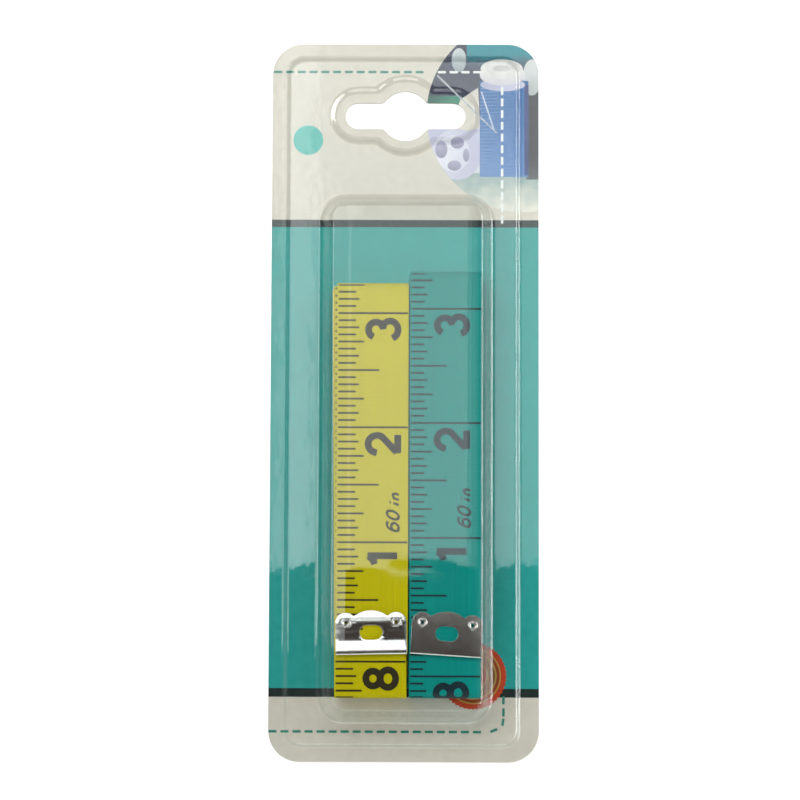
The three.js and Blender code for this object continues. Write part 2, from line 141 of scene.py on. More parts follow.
def ramp_of(add, source, stops):
    """A colour ramp over a source, with a colour at each place from 0 to 1."""
    ramp = add("ValToRGB", source)
    colours = ramp.color_ramp.elements
    while len(colours) < len(stops):
        colours.new(0.5)
    for element, (place, colour) in zip(colours, stops):
        element.position = place
        element.color = [*colour[:3], 1]
    return ramp.outputs["Color"]


def cloud_of(add, scale, detail, roughness, place=None):
    """A soft noise on the object's own place, or on another, scaled along each axis."""
    if place is None:
        place = add("TexCoord").outputs["Object"]
    fit = add("Mapping", place, Scale=scale)
    noise = add("TexNoise", fit.outputs["Vector"], Scale=1.0, Detail=detail, Roughness=roughness)
    return noise.outputs["Fac"]


# %% Finishes
def new_finish(name, colour, roughness, metallic=0.0):
    """A material with one Principled shader. Returns the material, its shader and its node adder."""
    made = bpy.data.materials.new(name)
    made.use_nodes = True
    shader = made.node_tree.nodes["Principled BSDF"]
    shader.inputs["Base Color"].default_value = colour
    shader.inputs["Roughness"].default_value = roughness
    shader.inputs["Metallic"].default_value = metallic
    shader.inputs["Specular IOR Level"].default_value = 0.5 if metallic else 0.2
    return made, shader, node_adder(made.node_tree)


def mottle(finish, size, low, high):
    """Varies the base colour between two shades, with clouds of a size in millimetres."""
    _, shader, add = finish
    cloud = cloud_of(add, [1 / MM / size] * 3, 3.0, 0.55)
    feed(shader, "Base Color", ramp_of(add, cloud, [(0.3, low), (0.7, high)]))
    return cloud


def mottled(name, roughness, size, colour, low, high):
    """A finish whose colour wanders between two shades of itself."""
    finish = new_finish(name, linear(*colour), roughness)
    mottle(finish, size, linear(*low), linear(*high))
    return finish


def roughen(finish, height, source, strength=1.0):
    """Turns a grey pattern into bumps, height millimetres deep."""
    _, shader, add = finish
    bump = add("Bump", Strength=strength, Distance=height * MM, Height=source)
    feed(shader, "Normal", bump.outputs["Normal"])


# %% [markdown]
# ## The surface that the pack lies on
#
# A plain white sheet. For the camera, and for what the steel and the plastic mirror, its white comes
# partly from the sheet itself, so the lamps can stay at the level that suits the object. The pack's
# shadow still shows on it.

# %% Floor
FLOOR_SIZE, FLOOR_DEPTH, FLOOR_GLOW = 4, 0.1, 0.55

bpy.ops.mesh.primitive_plane_add(size=FLOOR_SIZE, location=(0, 0, -FLOOR_DEPTH * MM))
floor = bpy.context.object
floor.name = "floor"
white, white_shader, add = new_finish("studio white", linear(205, 205, 205), 0.9)
path = add("LightPath").outputs
seen = add("Math", path["Is Camera Ray"], path["Is Glossy Ray"], operation="MAXIMUM")
mirrored = add("Math", seen.outputs[0], path["Is Transmission Ray"], operation="MAXIMUM")
dark, glow = (add("Emission", Strength=strength).outputs[0] for strength in (0.0, FLOOR_GLOW))
chosen = add("MixShader", mirrored.outputs[0], dark, glow)
both = add("AddShader", white_shader.outputs[0], chosen.outputs[0])
feed(white.node_tree.nodes["Material Output"], "Surface", both.outputs[0])
floor.data.materials.append(white)

# %% [markdown]
# ## The light
#
# The room is dim and even, with a darker patch straight above, where the camera stood: the steel and
# the foot of the pocket mirror that patch. The clear sheet mirrors the veil lamp, which hangs over
# the hang slot, as a pale cool veil that ends a little below the middle. A strip carries the veil
# further down at the left, and three narrow lamps let it fade towards the right.
#
# The left lamp and the head lamp light the card and the tapes. The right and foot lamps stand low
# and far off, so that they show as thin lines on the steps of the sheet. Two lamps are left out of
# mirrors, where they would draw a line that isn't there, and one shows in mirrors alone.

# %% World
ROOM_LEVEL = 0.24
PATCH = [(0.93, (1, 1, 1)), (0.975, (0.17, 0.14, 0.125))]

world = bpy.data.worlds.new("room")
bpy.context.scene.world = world
world.use_nodes = True
add = node_adder(world.node_tree)
room = world.node_tree.nodes["Background"]
upward = add("SeparateXYZ", add("TexCoord").outputs["Generated"])
feed(room, "Color", ramp_of(add, upward.outputs["Z"], PATCH))
room.inputs["Strength"].default_value = ROOM_LEVEL

# %% Lamps
NEUTRAL, COOL = (1, 1, 1), (0.94, 1.0, 1.02)
VEIL = 1.68
VEIL_MIDDLE, VEIL_DEPTH, VEIL_HEIGHT = 100.5, 271, 600
EDGE_START, EDGE_WIDTH, EDGE_SHARES = 78, 44, (0.62, 0.4, 0.22)
EVERYWHERE, LIGHT_ONLY, MIRRORS_ONLY = (True, True), (True, False), (False, True)


def soft_lamp(name, place, size, radiance, colour=NEUTRAL, shows=EVERYWHERE):
    """A flat lamp in millimetres that faces down and shines evenly."""
    width, depth = size[0] * MM, size[1] * MM
    data = bpy.data.lights.new(name, "AREA")
    data.shape = "RECTANGLE"
    data.size = width
    data.size_y = depth
    data.energy = radiance * math.pi * width * depth
    data.color = colour
    lamp = new_object(name, data)
    lamp.location = Vector(place) * MM
    lamp.visible_diffuse, lamp.visible_glossy = shows
    print(name, "power:", round(data.energy, 3), "W")


soft_lamp("veil_lamp", (-86, VEIL_MIDDLE, VEIL_HEIGHT), (328, VEIL_DEPTH), VEIL, COOL)
soft_lamp("veil_strip", (-165, -56, VEIL_HEIGHT), (170, 42), VEIL, COOL)
for order, share in enumerate(EDGE_SHARES):
    middle = EDGE_START + EDGE_WIDTH * (order + 0.5)
    place = (middle, VEIL_MIDDLE, VEIL_HEIGHT)
    soft_lamp("veil_edge_" + str(order), place, (EDGE_WIDTH, VEIL_DEPTH), VEIL * share, COOL)
soft_lamp("left_glint", (-55, VEIL_MIDDLE, VEIL_HEIGHT - 2), (17, VEIL_DEPTH), 0.75)
soft_lamp("left_lamp", (-430, 180, 620), (300, 520), 3.3)
soft_lamp("head_lamp", (-40, 160, 300), (300, 200), 3.6, NEUTRAL, LIGHT_ONLY)
soft_lamp("right_lamp", (750, 0, 150), (900, 500), 5.5)
soft_lamp("right_glint", (700, 0, 151), (1000, 500), 4.0, NEUTRAL, MIRRORS_ONLY)
soft_lamp("foot_lamp", (0, -800, 300), (500, 700), 2.2)
soft_lamp("foot_fill", (0, -800, 301), (500, 700), 3.0, NEUTRAL, LIGHT_ONLY)

# %% [markdown]
# ## Outlines
#
# The card and the clear sheet are made of outlines: rounded rectangles and the hang slot, at many
# heights. Each starts as a circle whose points are numbered and set on the outline. Extruding the
# ring keeps the numbers, so the new ring can be set on the next outline, and a wall grows between.

# %% Outlines in millimetres
CORNER_STEPS = 10


def flat(points, z):
    """Points on one level, from millimetres to metres."""
    return [(x * MM, y * MM, z * MM) for x, y in points]


def arc(middle, radius, start, end, steps):
    """Points along an arc, from one angle to another."""
    turns = [math.radians(start + (end - start) * i / steps) for i in range(steps + 1)]
    return [Vector((middle[0] + radius * math.cos(t), middle[1] + radius * math.sin(t))) for t in turns]


def rounded(half, low, high, radius, z):
    """A rounded rectangle, anticlockwise from its right side."""
    corners = [(1, high - radius), (-1, high - radius), (-1, low + radius), (1, low + radius)]
    points = []
    for quarter, (side, y) in enumerate(corners):
        middle = (side * (half - radius), y)
        points += arc(middle, radius, 90 * quarter, 90 * quarter + 90, CORNER_STEPS)
    return flat(points, z)


SLOT_ARM, SLOT_HOLE, SLOT_REACH, SLOT_DROP = 3.0, 5.75, 13.75, 16.6
SLOT_CORNER = 1.0
slot_middle = half_length - SLOT_DROP


def slot_outline(grow, corner, z):
    """The hang slot, a round hole with an arm on each side, grown by some millimetres."""
    arm, hole = SLOT_ARM + grow, SLOT_HOLE + grow
    end = SLOT_REACH - SLOT_ARM
    side = math.sqrt((hole + corner) ** 2 - (arm + corner) ** 2)
    lean = math.degrees(math.atan2(arm + corner, side))
    half = arc((end, 0), arm, -90, 90, 10) + arc((side, arm + corner), corner, -90, lean - 180, 4)
    half += arc((0, 0), hole, lean, 180 - lean, 10)[1:-1]
    half += arc((-side, arm + corner), corner, -lean, -90, 4)
    whole = half + [-point for point in half]
    return flat([(point.x, slot_middle + point.y) for point in whole], z)


# %% Opening and closing a piece
MERGE = 0.001


def only(piece):
    """Selects one piece and makes it the active one."""
    bpy.ops.object.select_all(action="DESELECT")
    bpy.context.view_layer.objects.active = piece
    piece.select_set(True)


def edit(piece):
    """Opens a piece for editing."""
    only(piece)
    bpy.ops.object.mode_set(mode="EDIT")


def take_all():
    bpy.ops.mesh.select_all(action="SELECT")


def close_edit():
    bpy.ops.object.mode_set(mode="OBJECT")


def close_outwards(merge=0.0):
    """Merges points nearer than some millimetres, turns every face outwards and ends the editing."""
    take_all()
    if merge:
        bpy.ops.mesh.remove_doubles(threshold=merge * MM)
    bpy.ops.mesh.normals_make_consistent(inside=False)
    close_edit()


# %% Rings that grow into walls
def set_ring(piece, points):
    """Sets the selected ring on an outline, by the numbers of its points."""
    mesh = bmesh.from_edit_mesh(piece.data)
    number = mesh.verts.layers.int["number"]
    for vert in mesh.verts:
        if vert.select:
            vert.co = points[vert[number]]
    bmesh.update_edit_mesh(piece.data)


def first_ring(points, piece=None):
    """Adds a circle, numbers its points and sets them on an outline. Leaves edit mode on."""
    if piece is not None:
        bpy.ops.mesh.select_all(action="DESELECT")
    bpy.ops.mesh.primitive_circle_add(vertices=len(points), radius=MM)
    if piece is None:
        piece = bpy.context.object
        edit(piece)
    mesh = bmesh.from_edit_mesh(piece.data)
    number = mesh.verts.layers.int.get("number") or mesh.verts.layers.int.new("number")
    for index, vert in enumerate(vert for vert in mesh.verts if vert.select):
        vert[number] = index
    set_ring(piece, points)
    return piece


def next_ring(piece, points):
    """Extrudes the selected ring and sets it on the next outline."""
    bpy.ops.mesh.extrude_region_move()
    set_ring(piece, points)


def pull_up(height):
    """Extrudes what is selected upwards, by some millimetres."""
    bpy.ops.mesh.extrude_region_move(TRANSFORM_OT_translate={"value": (0, 0, height * MM)})


def cut_across(places, way=(1, 0, 0), start=(0, 0, 0)):
    """Cuts the piece in edit mode across a direction, at places in millimetres from a start."""
    for along in places:
        take_all()
        cut = Vector(start) + Vector(way) * along * MM
        bpy.ops.mesh.bisect(plane_co=cut, plane_no=way)


# %% Finishing a piece
def apply_all(piece):
    """Applies a piece's modifiers from the top down."""
    only(piece)
    for modifier in list(piece.modifiers):
        bpy.ops.object.modifier_apply(modifier=modifier.name)


def repeat(piece, count, step):
    """Copies a piece again and again, each copy a step in millimetres from the last."""
    array = piece.modifiers.new("repeat", "ARRAY")
    array.count = count
    array.use_relative_offset = False
    array.use_constant_offset = True
    array.constant_offset_displace = [way * MM for way in step]
    apply_all(piece)


def join(pieces):
    """Joins pieces into the first of them."""
    only(pieces[0])
    for piece in pieces:
        piece.select_set(True)
    bpy.ops.object.join()
    return pieces[0]


def finish_piece(piece, name, body, replaced=(), smooth=40):
    """Names a piece, smooths it up to an angle and says what it rides on and stands for."""
    piece.name = piece.data.name = name
    only(piece)
    bpy.ops.object.transform_apply(location=True, rotation=True, scale=True)
    bpy.ops.object.shade_smooth_by_angle(angle=math.radians(smooth))
    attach(piece, body)
    if replaced:
        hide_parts(*replaced)
    print(name, "faces:", len(piece.data.polygons))


# %% [markdown]
# ## The card
#
# Coated board, printed in bands: off-white, a black stripe, a wide teal field, a black stripe and
# off-white again. It is a rounded outline filled in, cut across where the stripes begin and end, and
# then given its thickness. The slot is punched out of it with a cutter of the same outline.

# %% Card finishes
paper = new_finish("card_white", linear(207, 201, 188), 0.5)
roughen(paper, 0.01, mottle(paper, 1.6, linear(203, 197, 184), linear(211, 205, 193)))
black_ink = mottled("card_black", 0.4, 0.8, (24, 40, 36), (16, 32, 29), (32, 47, 43))
teal_ink = mottled("card_teal", 0.42, 2.2, (32, 153, 147), (28, 149, 143), (36, 157, 151))
card_edge = mottled("card_core", 0.85, 0.5, (186, 180, 165), (170, 163, 148), (196, 190, 176))

# %% Card blank
TOP_STRIPE = (39.36, 41.04)
FOOT_STRIPE = (-67.1, -65.15)
PACK_CORNER = 7.0
WHITE, BLACK, TEAL, CORE = range(4)

card = first_ring(rounded(half_width, -half_length, half_length, PACK_CORNER, card_face))
bpy.ops.mesh.edge_face_add()
cut_across((*TOP_STRIPE, *FOOT_STRIPE), (0, 1, 0))
take_all()
pull_up(-card_face)
close_edit()
for finish in (paper, black_ink, teal_ink, card_edge):
    card.data.materials.append(finish[0])
for face in card.data.polygons:
    height = face.center.y / MM
    level = face.center.z / MM / card_face
    if 0.3 < level < 0.7:
        face.material_index = CORE
    elif level < 0.3:
        face.material_index = WHITE
    elif FOOT_STRIPE[1] < height < TOP_STRIPE[0]:
        face.material_index = TEAL
    elif FOOT_STRIPE[0] < height < TOP_STRIPE[1]:
        face.material_index = BLACK
edit(card)
close_outwards()

# %% Punch the hang slot
def cut_away(piece, cutter, operation="DIFFERENCE"):
    """Takes one closed piece out of another, and deletes the cutter."""
    modifier = piece.modifiers.new("cut", "BOOLEAN")
    modifier.operation = operation
    modifier.object = cutter
    modifier.solver = "EXACT"
    modifier.material_mode = "TRANSFER"
    apply_all(piece)
    bpy.data.objects.remove(cutter)


def prism(ring, height):
    """A closed block that rises from a ring by some millimetres."""
    block = first_ring(ring)
    bpy.ops.mesh.edge_face_add()
    pull_up(height)
    close_outwards()
    return block


punch = prism(slot_outline(0, SLOT_CORNER, -1), card_face + 2)
punch.data.materials.append(card_edge[0])
cut_away(card, punch)
finish_piece(card, "printed_card", "card", ["backing_card"], 30)

# %% [markdown]
# ## Printed marks on the card
#
# Ink has next to no thickness, but a raised film of it keeps its edges sharp from near by, so each
# mark is a very thin plate that stands a hundredth of a millimetre above the card.

# %% Ink
INK_TOP, INK_ROOT = 0.012, 0.03
LINE_LIFT, WHITE_LIFT, LAYER_LIFT = 0.006, 0.03, 0.003


def printed(points, finish, lift=0.0, corner=0.0):
    """A mark of ink on the card, from the points of its outline in millimetres."""
    plate = first_ring(flat(points, card_face - INK_ROOT))
    bpy.ops.mesh.edge_face_add()
    if corner:
        take_all()
        bpy.ops.mesh.bevel(offset=corner * MM, segments=2, affect="VERTICES")
    close_edit()
    plate.data.materials.append(finish[0])
    edit(plate)
    take_all()
    pull_up(INK_TOP + lift + INK_ROOT)
    close_outwards()
    return plate


def box_points(left, low, right, high):
    return [(left, low), (right, low), (right, high), (left, high)]


def ring_of(middle, radius, count=64, wide=1.0, scallop=0.0, teeth=24):
    """Points of an oval in millimetres, with a scalloped edge if wanted."""
    points = []
    for index in range(count):
        turned = 2 * math.pi * index / count
        reach = radius - scallop * abs(math.sin(teeth * turned))
        points.append((middle[0] + wide * reach * math.cos(turned), middle[1] + reach * math.sin(turned)))
    return points


# %% The stitched line
DASH, DASH_PITCH, DASH_WIDTH, DASH_CORNER = 1.85, 2.7, 0.57, 0.12
teal_thread = mottled("dash_teal", 0.5, 0.4, (46, 128, 112), (36, 116, 101), (58, 140, 124))
white_thread = mottled("dash_white", 0.5, 0.4, (228, 230, 226), (218, 221, 218), (236, 237, 233))


def dash_row(start, down, count, finish, lift=LINE_LIFT):
    """A row of short dashes, across or down the card: one dash, repeated."""
    (x, y), across, along = start, DASH / 2, DASH_WIDTH / 2
    if down:
        across, along = along, across
    row = printed(box_points(x - across, y - along, x + across, y + along), finish, lift, DASH_CORNER)
    repeat(row, count, (0, DASH_PITCH, 0) if down else (DASH_PITCH, 0, 0))
    return row


teal_line = join([
    dash_row((-29.2, 75.2), False, 13, teal_thread),
    dash_row((-29.4, -74.82), False, 18, teal_thread),
    dash_row((22.45, -70.4), True, 2, teal_thread),
    printed([(19.6, -75.05), (21.2, -74.4), (20.9, -73.85), (19.4, -74.5)], teal_thread, LINE_LIFT),
    printed([(21.95, -73.3), (22.45, -73.5), (22.75, -71.8), (22.2, -71.7)], teal_thread, LINE_LIFT),
])
finish_piece(teal_line, "stitch_line_teal", "card")
white_line = join([
    dash_row((8.3, 75.2), False, 4, white_thread, WHITE_LIFT),
    dash_row((22.1, 41.2), True, 12, white_thread, WHITE_LIFT),
])
finish_piece(white_line, "stitch_line_white", "card")

# %% The round mark
mark_finish = mottled("mark_teal", 0.45, 0.9, (66, 174, 163), (60, 168, 157), (74, 181, 170))
mark = printed(ring_of((-22.2, 59.4), 3.4), mark_finish)
finish_piece(mark, "round_mark", "card")

# %% [markdown]
# ## The seal
#
# A printed seal with a scalloped edge lies under the pocket's corner. It is a stack of discs, each
# smaller and a hair higher than the one before, so that only a ring of each shows.

# %% Seal
SEAL_MIDDLE = (15.6, -62.3)
SEAL_RINGS = [
    ("seal_red", 7.65, (196, 66, 34), 0.34),
    ("seal_gold", 6.3, (186, 150, 72), 0.0),
    ("seal_rust", 6.0, (150, 66, 34), 0.0),
    ("seal_gold_line", 5.3, (192, 158, 84), 0.0),
    ("seal_brown", 5.0, (132, 84, 40), 0.0),
    ("seal_inner_line", 3.3, (190, 156, 84), 0.0),
    ("seal_middle", 3.05, (160, 60, 34), 0.0),
]
SEAL_CLOUDS, SEAL_DEEP, SEAL_PALE = 0.7, 0.88, 1.12
SCALLOP_STEPS, PLAIN_STEPS = 144, 72
discs = []
for order, (name, radius, colour, scallop) in enumerate(SEAL_RINGS):
    finish = new_finish(name, linear(*colour), 0.4)
    mottle(finish, SEAL_CLOUDS, shade(linear(*colour), SEAL_DEEP), shade(linear(*colour), SEAL_PALE))
    points = ring_of(SEAL_MIDDLE, radius, SCALLOP_STEPS if scallop else PLAIN_STEPS, scallop=scallop)
    discs.append(printed(points, finish, order * LAYER_LIFT))
finish_piece(join(discs), "seal", "card")

# %% [markdown]
# ## The picture
#
# The card's upper right corner carries a round-edged picture of sewing things, out of focus: a spool
# of blue thread, a bobbin and a needle on a dark cloth. It is a plain arrangement of flat shapes in
# those colours, each cut to the card's outline and to the hang slot where it reaches them.

# %% Picture tools
PICTURE_MIDDLE, PICTURE_RADIUS, PICTURE_STEPS = (27.2, 65.3), 22.4, 160
TRIM_LOW, TRIM_HEIGHT = card_face - 0.2, 0.4
CLOUDY = 0.9


def fade(finish, axis, start, end, low, high, size):
    """Shades a finish from low to high along one axis of the card, with a cloudy border."""
    _, shader, add = finish
    place = add("TexCoord").outputs["Object"]
    along = add("SeparateXYZ", place).outputs[axis]
    ends = {"From Min": start * MM, "From Max": end * MM}
    share = add("MapRange", along, clamp=False, **ends).outputs["Result"]
    cloud = cloud_of(add, [1 / MM / size] * 3, 2.0, 0.5, place)
    mixed = add("Math", cloud, CLOUDY, share, operation="MULTIPLY_ADD")
    back = add("Math", mixed.outputs[0], CLOUDY / 2, operation="SUBTRACT")
    feed(shader, "Base Color", ramp_of(add, back.outputs[0], [(0, low), (1, high)]))


def trim_to_card(plate):
    """Keeps what lies on the card, inside the picture's circle and outside the slot."""
    card_edges = rounded(half_width, -half_length, half_length, PACK_CORNER, TRIM_LOW)
    circle = flat(ring_of(PICTURE_MIDDLE, PICTURE_RADIUS, PICTURE_STEPS), TRIM_LOW)
    cut_away(plate, prism(card_edges, TRIM_HEIGHT), "INTERSECT")
    cut_away(plate, prism(circle, TRIM_HEIGHT), "INTERSECT")
    cut_away(plate, prism(slot_outline(0, SLOT_CORNER, TRIM_LOW), TRIM_HEIGHT))


def picture_shape(name, points, low, high, lift, run=None, size=2.0, trim=True):
    """One flat shape of the picture. A run names the axis and the two ends of its shading."""
    name = "picture_" + name
    low, high = linear(*low), linear(*high)
    finish = new_finish(name, low, 0.45)
    if run:
        fade(finish, *run, low, high, size)
    else:
        mottle(finish, size, low, high)
    plate = printed(points, finish, lift)
    if trim:
        trim_to_card(plate)
    return plate


# %% Cloth, shelf and bobbin
PALE = [(4.0, 62.0), (9.5, 62.4), (13.9, 61.4), (17.4, 62.5), (17.4, 47.0), (12.0, 44.0), (6.0, 52.0)]
CREAM = [(9.6, 63.2), (11.6, 66.2), (12.6, 68.9), (16.6, 71.6), (17.4, 58.0), (14.0, 60.8), (10.8, 61.8)]
BACKGROUND = [
    ("cloth", ring_of(PICTURE_MIDDLE, PICTURE_RADIUS, PICTURE_STEPS), (40, 44, 60), (66, 70, 92), 0.0,
     None, 4.0),
    ("haze", box_points(14.0, 76.6, 30.4, 81.6), (70, 78, 96), (36, 138, 148), 0.002, ("Y", 77.0, 79.5), 1.4),
    ("far_spool", ring_of((12.2, 78.0), 2.8, 40, 0.6), (150, 160, 166), (196, 202, 204), 0.004,
     ("Y", 76.0, 80.5)),
    ("green_band", box_points(4.6, 67.4, 12.6, 69.7), (22, 62, 58), (52, 132, 108), 0.002,
     ("X", 4.0, 11.0), 0.9),
    ("dark_band", box_points(4.6, 66.2, 11.6, 67.4), (14, 44, 44), (30, 70, 66), 0.003, None, 0.8),
    ("grey_band", box_points(4.6, 62.6, 9.9, 66.2), (122, 148, 134), (166, 184, 170), 0.002,
     ("Y", 63.0, 66.0), 1.0),
    ("cream", CREAM, (226, 218, 202), (198, 194, 188), 0.005, ("X", 10.0, 17.4), 1.5),
    ("pale", PALE, (216, 218, 222), (186, 186, 208), 0.006, ("Y", 48.0, 61.0)),
    ("shelf", box_points(8.0, 41.05, 30.5, 51.9), (222, 219, 207), (142, 166, 164), 0.007,
     ("Y", 43.0, 51.4), 2.6),
    ("shade", box_points(27.6, 50.4, 30.5, 70.8), (92, 96, 98), (58, 58, 62), 0.008, ("Y", 50.0, 55.0), 0.6),
    ("light", ring_of((28.9, 74.0), 4.2, 40, 0.5), (168, 174, 176), (204, 206, 206), 0.009,
     ("Y", 70.0, 76.0)),
    ("bobbin", ring_of((11.7, 56.2), 5.9, 64, 0.96), (208, 208, 222), (188, 186, 208), 0.009,
     ("X", 7.0, 16.0)),
    ("hub", ring_of((10.9, 56.4), 4.2, 64, 0.9), (226, 226, 234), (206, 206, 222), 0.011, ("X", 7.0, 15.0)),
]
BOBBIN_HOLES = [(8.2, 57.3, 2.0, 0.7), (11.9, 58.9, 1.4, 1.1), (11.2, 53.6, 1.2, 1.3), (13.9, 56.0, 1.5, 0.5)]

shapes = [picture_shape(*row) for row in BACKGROUND]
for index, (x, y, radius, wide) in enumerate(BOBBIN_HOLES):
    shapes.append(picture_shape("bobbin_hole_" + str(index), ring_of((x, y), radius, 32, wide),
                                (136, 132, 158), (172, 170, 194), 0.013, ("Y", y - radius, y + radius), 1.0))
print("shapes behind the spool:", len(shapes))

# %% Spool, needle and strand
THREAD_LINES, THREAD_PITCH = 26, 0.78
SPOOL = [
    ("thread", box_points(17.0, 51.0, 28.1, 73.2), (88, 130, 184), (28, 98, 158), 0.012, ("Y", 53.0, 66.0)),
    ("thread_edge", box_points(27.2, 51.4, 28.15, 72.4), (40, 52, 104), (58, 76, 132), 0.015),
    ("spool_neck", ring_of((22.25, 72.3), 1.5, 48, 3.4), (168, 168, 196), (192, 190, 208), 0.016,
     ("X", 17.0, 26.0)),
    ("spool_rim", ring_of((22.2, 74.6), 2.5, 48, 2.1), (196, 194, 200), (216, 214, 214), 0.018,
     ("Y", 72.0, 75.0)),
    ("spool_top", ring_of((22.0, 76.0), 2.2, 48, 2.2), (206, 204, 202), (222, 220, 216), 0.02),
    ("spool_bore", ring_of((22.0, 76.1), 0.7, 40, 3.0), (186, 182, 182), (200, 197, 196), 0.022),
    ("needle", [(7.1, 74.3), (7.4, 74.6), (21.0, 61.2), (20.8, 61.0)], (132, 138, 148), (206, 208, 212),
     0.024, None, 0.7),
    ("strand", [(17.2, 70.6), (17.5, 70.7), (20.5, 61.6), (20.2, 61.5)], (176, 186, 206), (206, 214, 224),
     0.023, None, 0.8),
    ("thread_line", box_points(17.2, 51.8, 27.2, 52.0), (116, 150, 198), (56, 108, 172), 0.014,
     ("X", 17.0, 24.0), 1.5),
]
shapes += [picture_shape(*row, trim=False) for row in SPOOL]
repeat(shapes[-1], THREAD_LINES, (0, THREAD_PITCH, 0))
finish_piece(join(shapes), "picture", "card")

# %% [markdown]
# ## The clear sheet
#
# A thin sheet, formed hot over a mould: a flange, a step up to a low plateau, a tall pocket and a
# sunk land round the slot. Only its outer face is modelled, ring by ring. Every sharp turn of the
# mould is a small curve on the real sheet, so a wall leaves one level and meets the next through a
# few rings that follow a curve. Solidify then gives the sheet its thickness inwards.

# %% Sizes of the clear sheet
SHEET = 0.35
FLANGE_TOP, PLATEAU = 0.9, 1.9
RISE = roof - PLATEAU
POCKET_BASE = {"half": 19.3, "middle": 0.3, "low": -72.6, "high": 45.9, "radius": 5.6}
LEFT_LEAN, RIGHT_LEAN, END_LEAN = 2.4, 1.9, 2.9
RADIUS_DROP, LEAST_RADIUS = 2.0, 0.6
BASE_CURVE = ROOF_CURVE = 0.9
CURVE_STEPS = 6
roof_shift = (LEFT_LEAN - RIGHT_LEAN) / 2


def pocket_ring(share, out=0.0):
    """The pocket's outline at a share of its height, moved out sideways by some millimetres."""
    ring = rounded(
        POCKET_BASE["half"] - (LEFT_LEAN + RIGHT_LEAN) / 2 * share + out,
        POCKET_BASE["low"] + END_LEAN * share - out,
        POCKET_BASE["high"] - END_LEAN * share + out,
        max(POCKET_BASE["radius"] - RADIUS_DROP * share + out, LEAST_RADIUS),
        PLATEAU + RISE * share,
    )
    return [(x + (POCKET_BASE["middle"] + roof_shift * share) * MM, y, z) for x, y, z in ring]


def pack_ring(inset, radius, z, left=0.15, right=1.1):
    """An outline inside the card's, which keeps some more room on the left and on the right."""
    half = half_width - inset - (left + right) / 2
    ring = rounded(half, inset - half_length, half_length - inset, radius, z)
    return [(x + (left - right) / 2 * MM, y, z) for x, y, z in ring]


def curve_shares(steps):
    """How far along its two legs a rounded corner has come, at each step."""
    return [((1 - i / steps) ** 2, (i / steps) ** 2) for i in range(steps + 1)]


# %% Flange and step
LOW_CURVE, LOW_LEG, LOW_STEPS = 0.3, 0.4, 4
STEP_START, STEP_RUN, STEP_CORNER = 3.15, 0.8, 3.9
FLANGE_END, PLATEAU_START = (2.7, 4.3), (4.4, 3.1)


def low_wall(start, run):
    """Rings of a low wall: how far it has come, its height, and how much tighter its corners are."""
    rings = []
    for before, after in curve_shares(LOW_STEPS):
        up = LOW_LEG * after
        rings.append((start - LOW_CURVE * before + run * up, FLANGE_TOP + up, LOW_CURVE * up))
    for before, after in curve_shares(LOW_STEPS):
        down = LOW_LEG * before
        far = start + run * (1 - down) + LOW_CURVE * after
        rings.append((far, PLATEAU - down, LOW_CURVE + LOW_CURVE * after))
    return rings


sheet = first_ring(pack_ring(0, PACK_CORNER, FLANGE_TOP, 0, 0))
next_ring(sheet, pack_ring(*FLANGE_END, FLANGE_TOP))
for inset, z, tighter in low_wall(STEP_START, STEP_RUN):
    next_ring(sheet, pack_ring(inset, STEP_CORNER - tighter, z))
next_ring(sheet, pack_ring(*PLATEAU_START, PLATEAU))

# %% Land round the slot
LAND, LAND_WALL, LAND_CORNER = 2.2, 1.2, 1.5
LAND_INSIDE, LAND_OUTSIDE = 0.7, 0.8
first_ring(slot_outline(0, SLOT_CORNER, FLANGE_TOP), sheet)
next_ring(sheet, slot_outline(LAND - LAND_INSIDE, LAND_CORNER, FLANGE_TOP))
for grow, z, _ in low_wall(LAND, LAND_WALL):
    next_ring(sheet, slot_outline(grow, LAND_CORNER, z))
next_ring(sheet, slot_outline(LAND + LAND_WALL + LAND_OUTSIDE, LAND_CORNER, PLATEAU))

# %% Pocket
POCKET_MARGIN = 0.4
WALL_RINGS, ROOF_RINGS = (0.25, 0.5, 0.75), (1.5, 2.4, 3.3, 4.4, 5.5)
first_ring(pocket_ring(0, BASE_CURVE + POCKET_MARGIN), sheet)
for before, after in curve_shares(CURVE_STEPS):
    next_ring(sheet, pocket_ring(after * BASE_CURVE / RISE, BASE_CURVE * before))
for share in WALL_RINGS:
    next_ring(sheet, pocket_ring(share))
for before, after in curve_shares(CURVE_STEPS):
    next_ring(sheet, pocket_ring(1 - before * ROOF_CURVE / RISE, -ROOF_CURVE * after))
for inset in ROOF_RINGS:
    next_ring(sheet, pocket_ring(1, -inset))
bpy.ops.mesh.edge_face_add()

# %% [markdown]
# The three parts stand apart now, each with an open rim at the height of the plateau. Filling
# between the rims makes the plateau. The pocket's roof isn't flat on the real sheet: it sags a
# little along its two long sides.

# %% Plateau, roof and thickness
def choose_edges(piece, test):
    """Selects the edges of the piece in edit mode that pass a test, and counts them."""
    bpy.ops.mesh.select_all(action="DESELECT")
    mesh = bmesh.from_edit_mesh(piece.data)
    chosen = [edge for edge in mesh.edges if test(edge)]
    for edge in chosen:
        edge.select_set(True)
    mesh.select_flush_mode()
    bmesh.update_edit_mesh(piece.data)
    return len(chosen)


def level_rim(edge):
    low, high = sorted(vert.co.z / MM for vert in edge.verts)
    return len(edge.link_faces) == 1 and low > PLATEAU - 0.01 and high < PLATEAU + 0.01


print("edges round the plateau:", choose_edges(sheet, level_rim))
bpy.ops.mesh.fill(use_beauty=True)
close_outwards(MERGE)

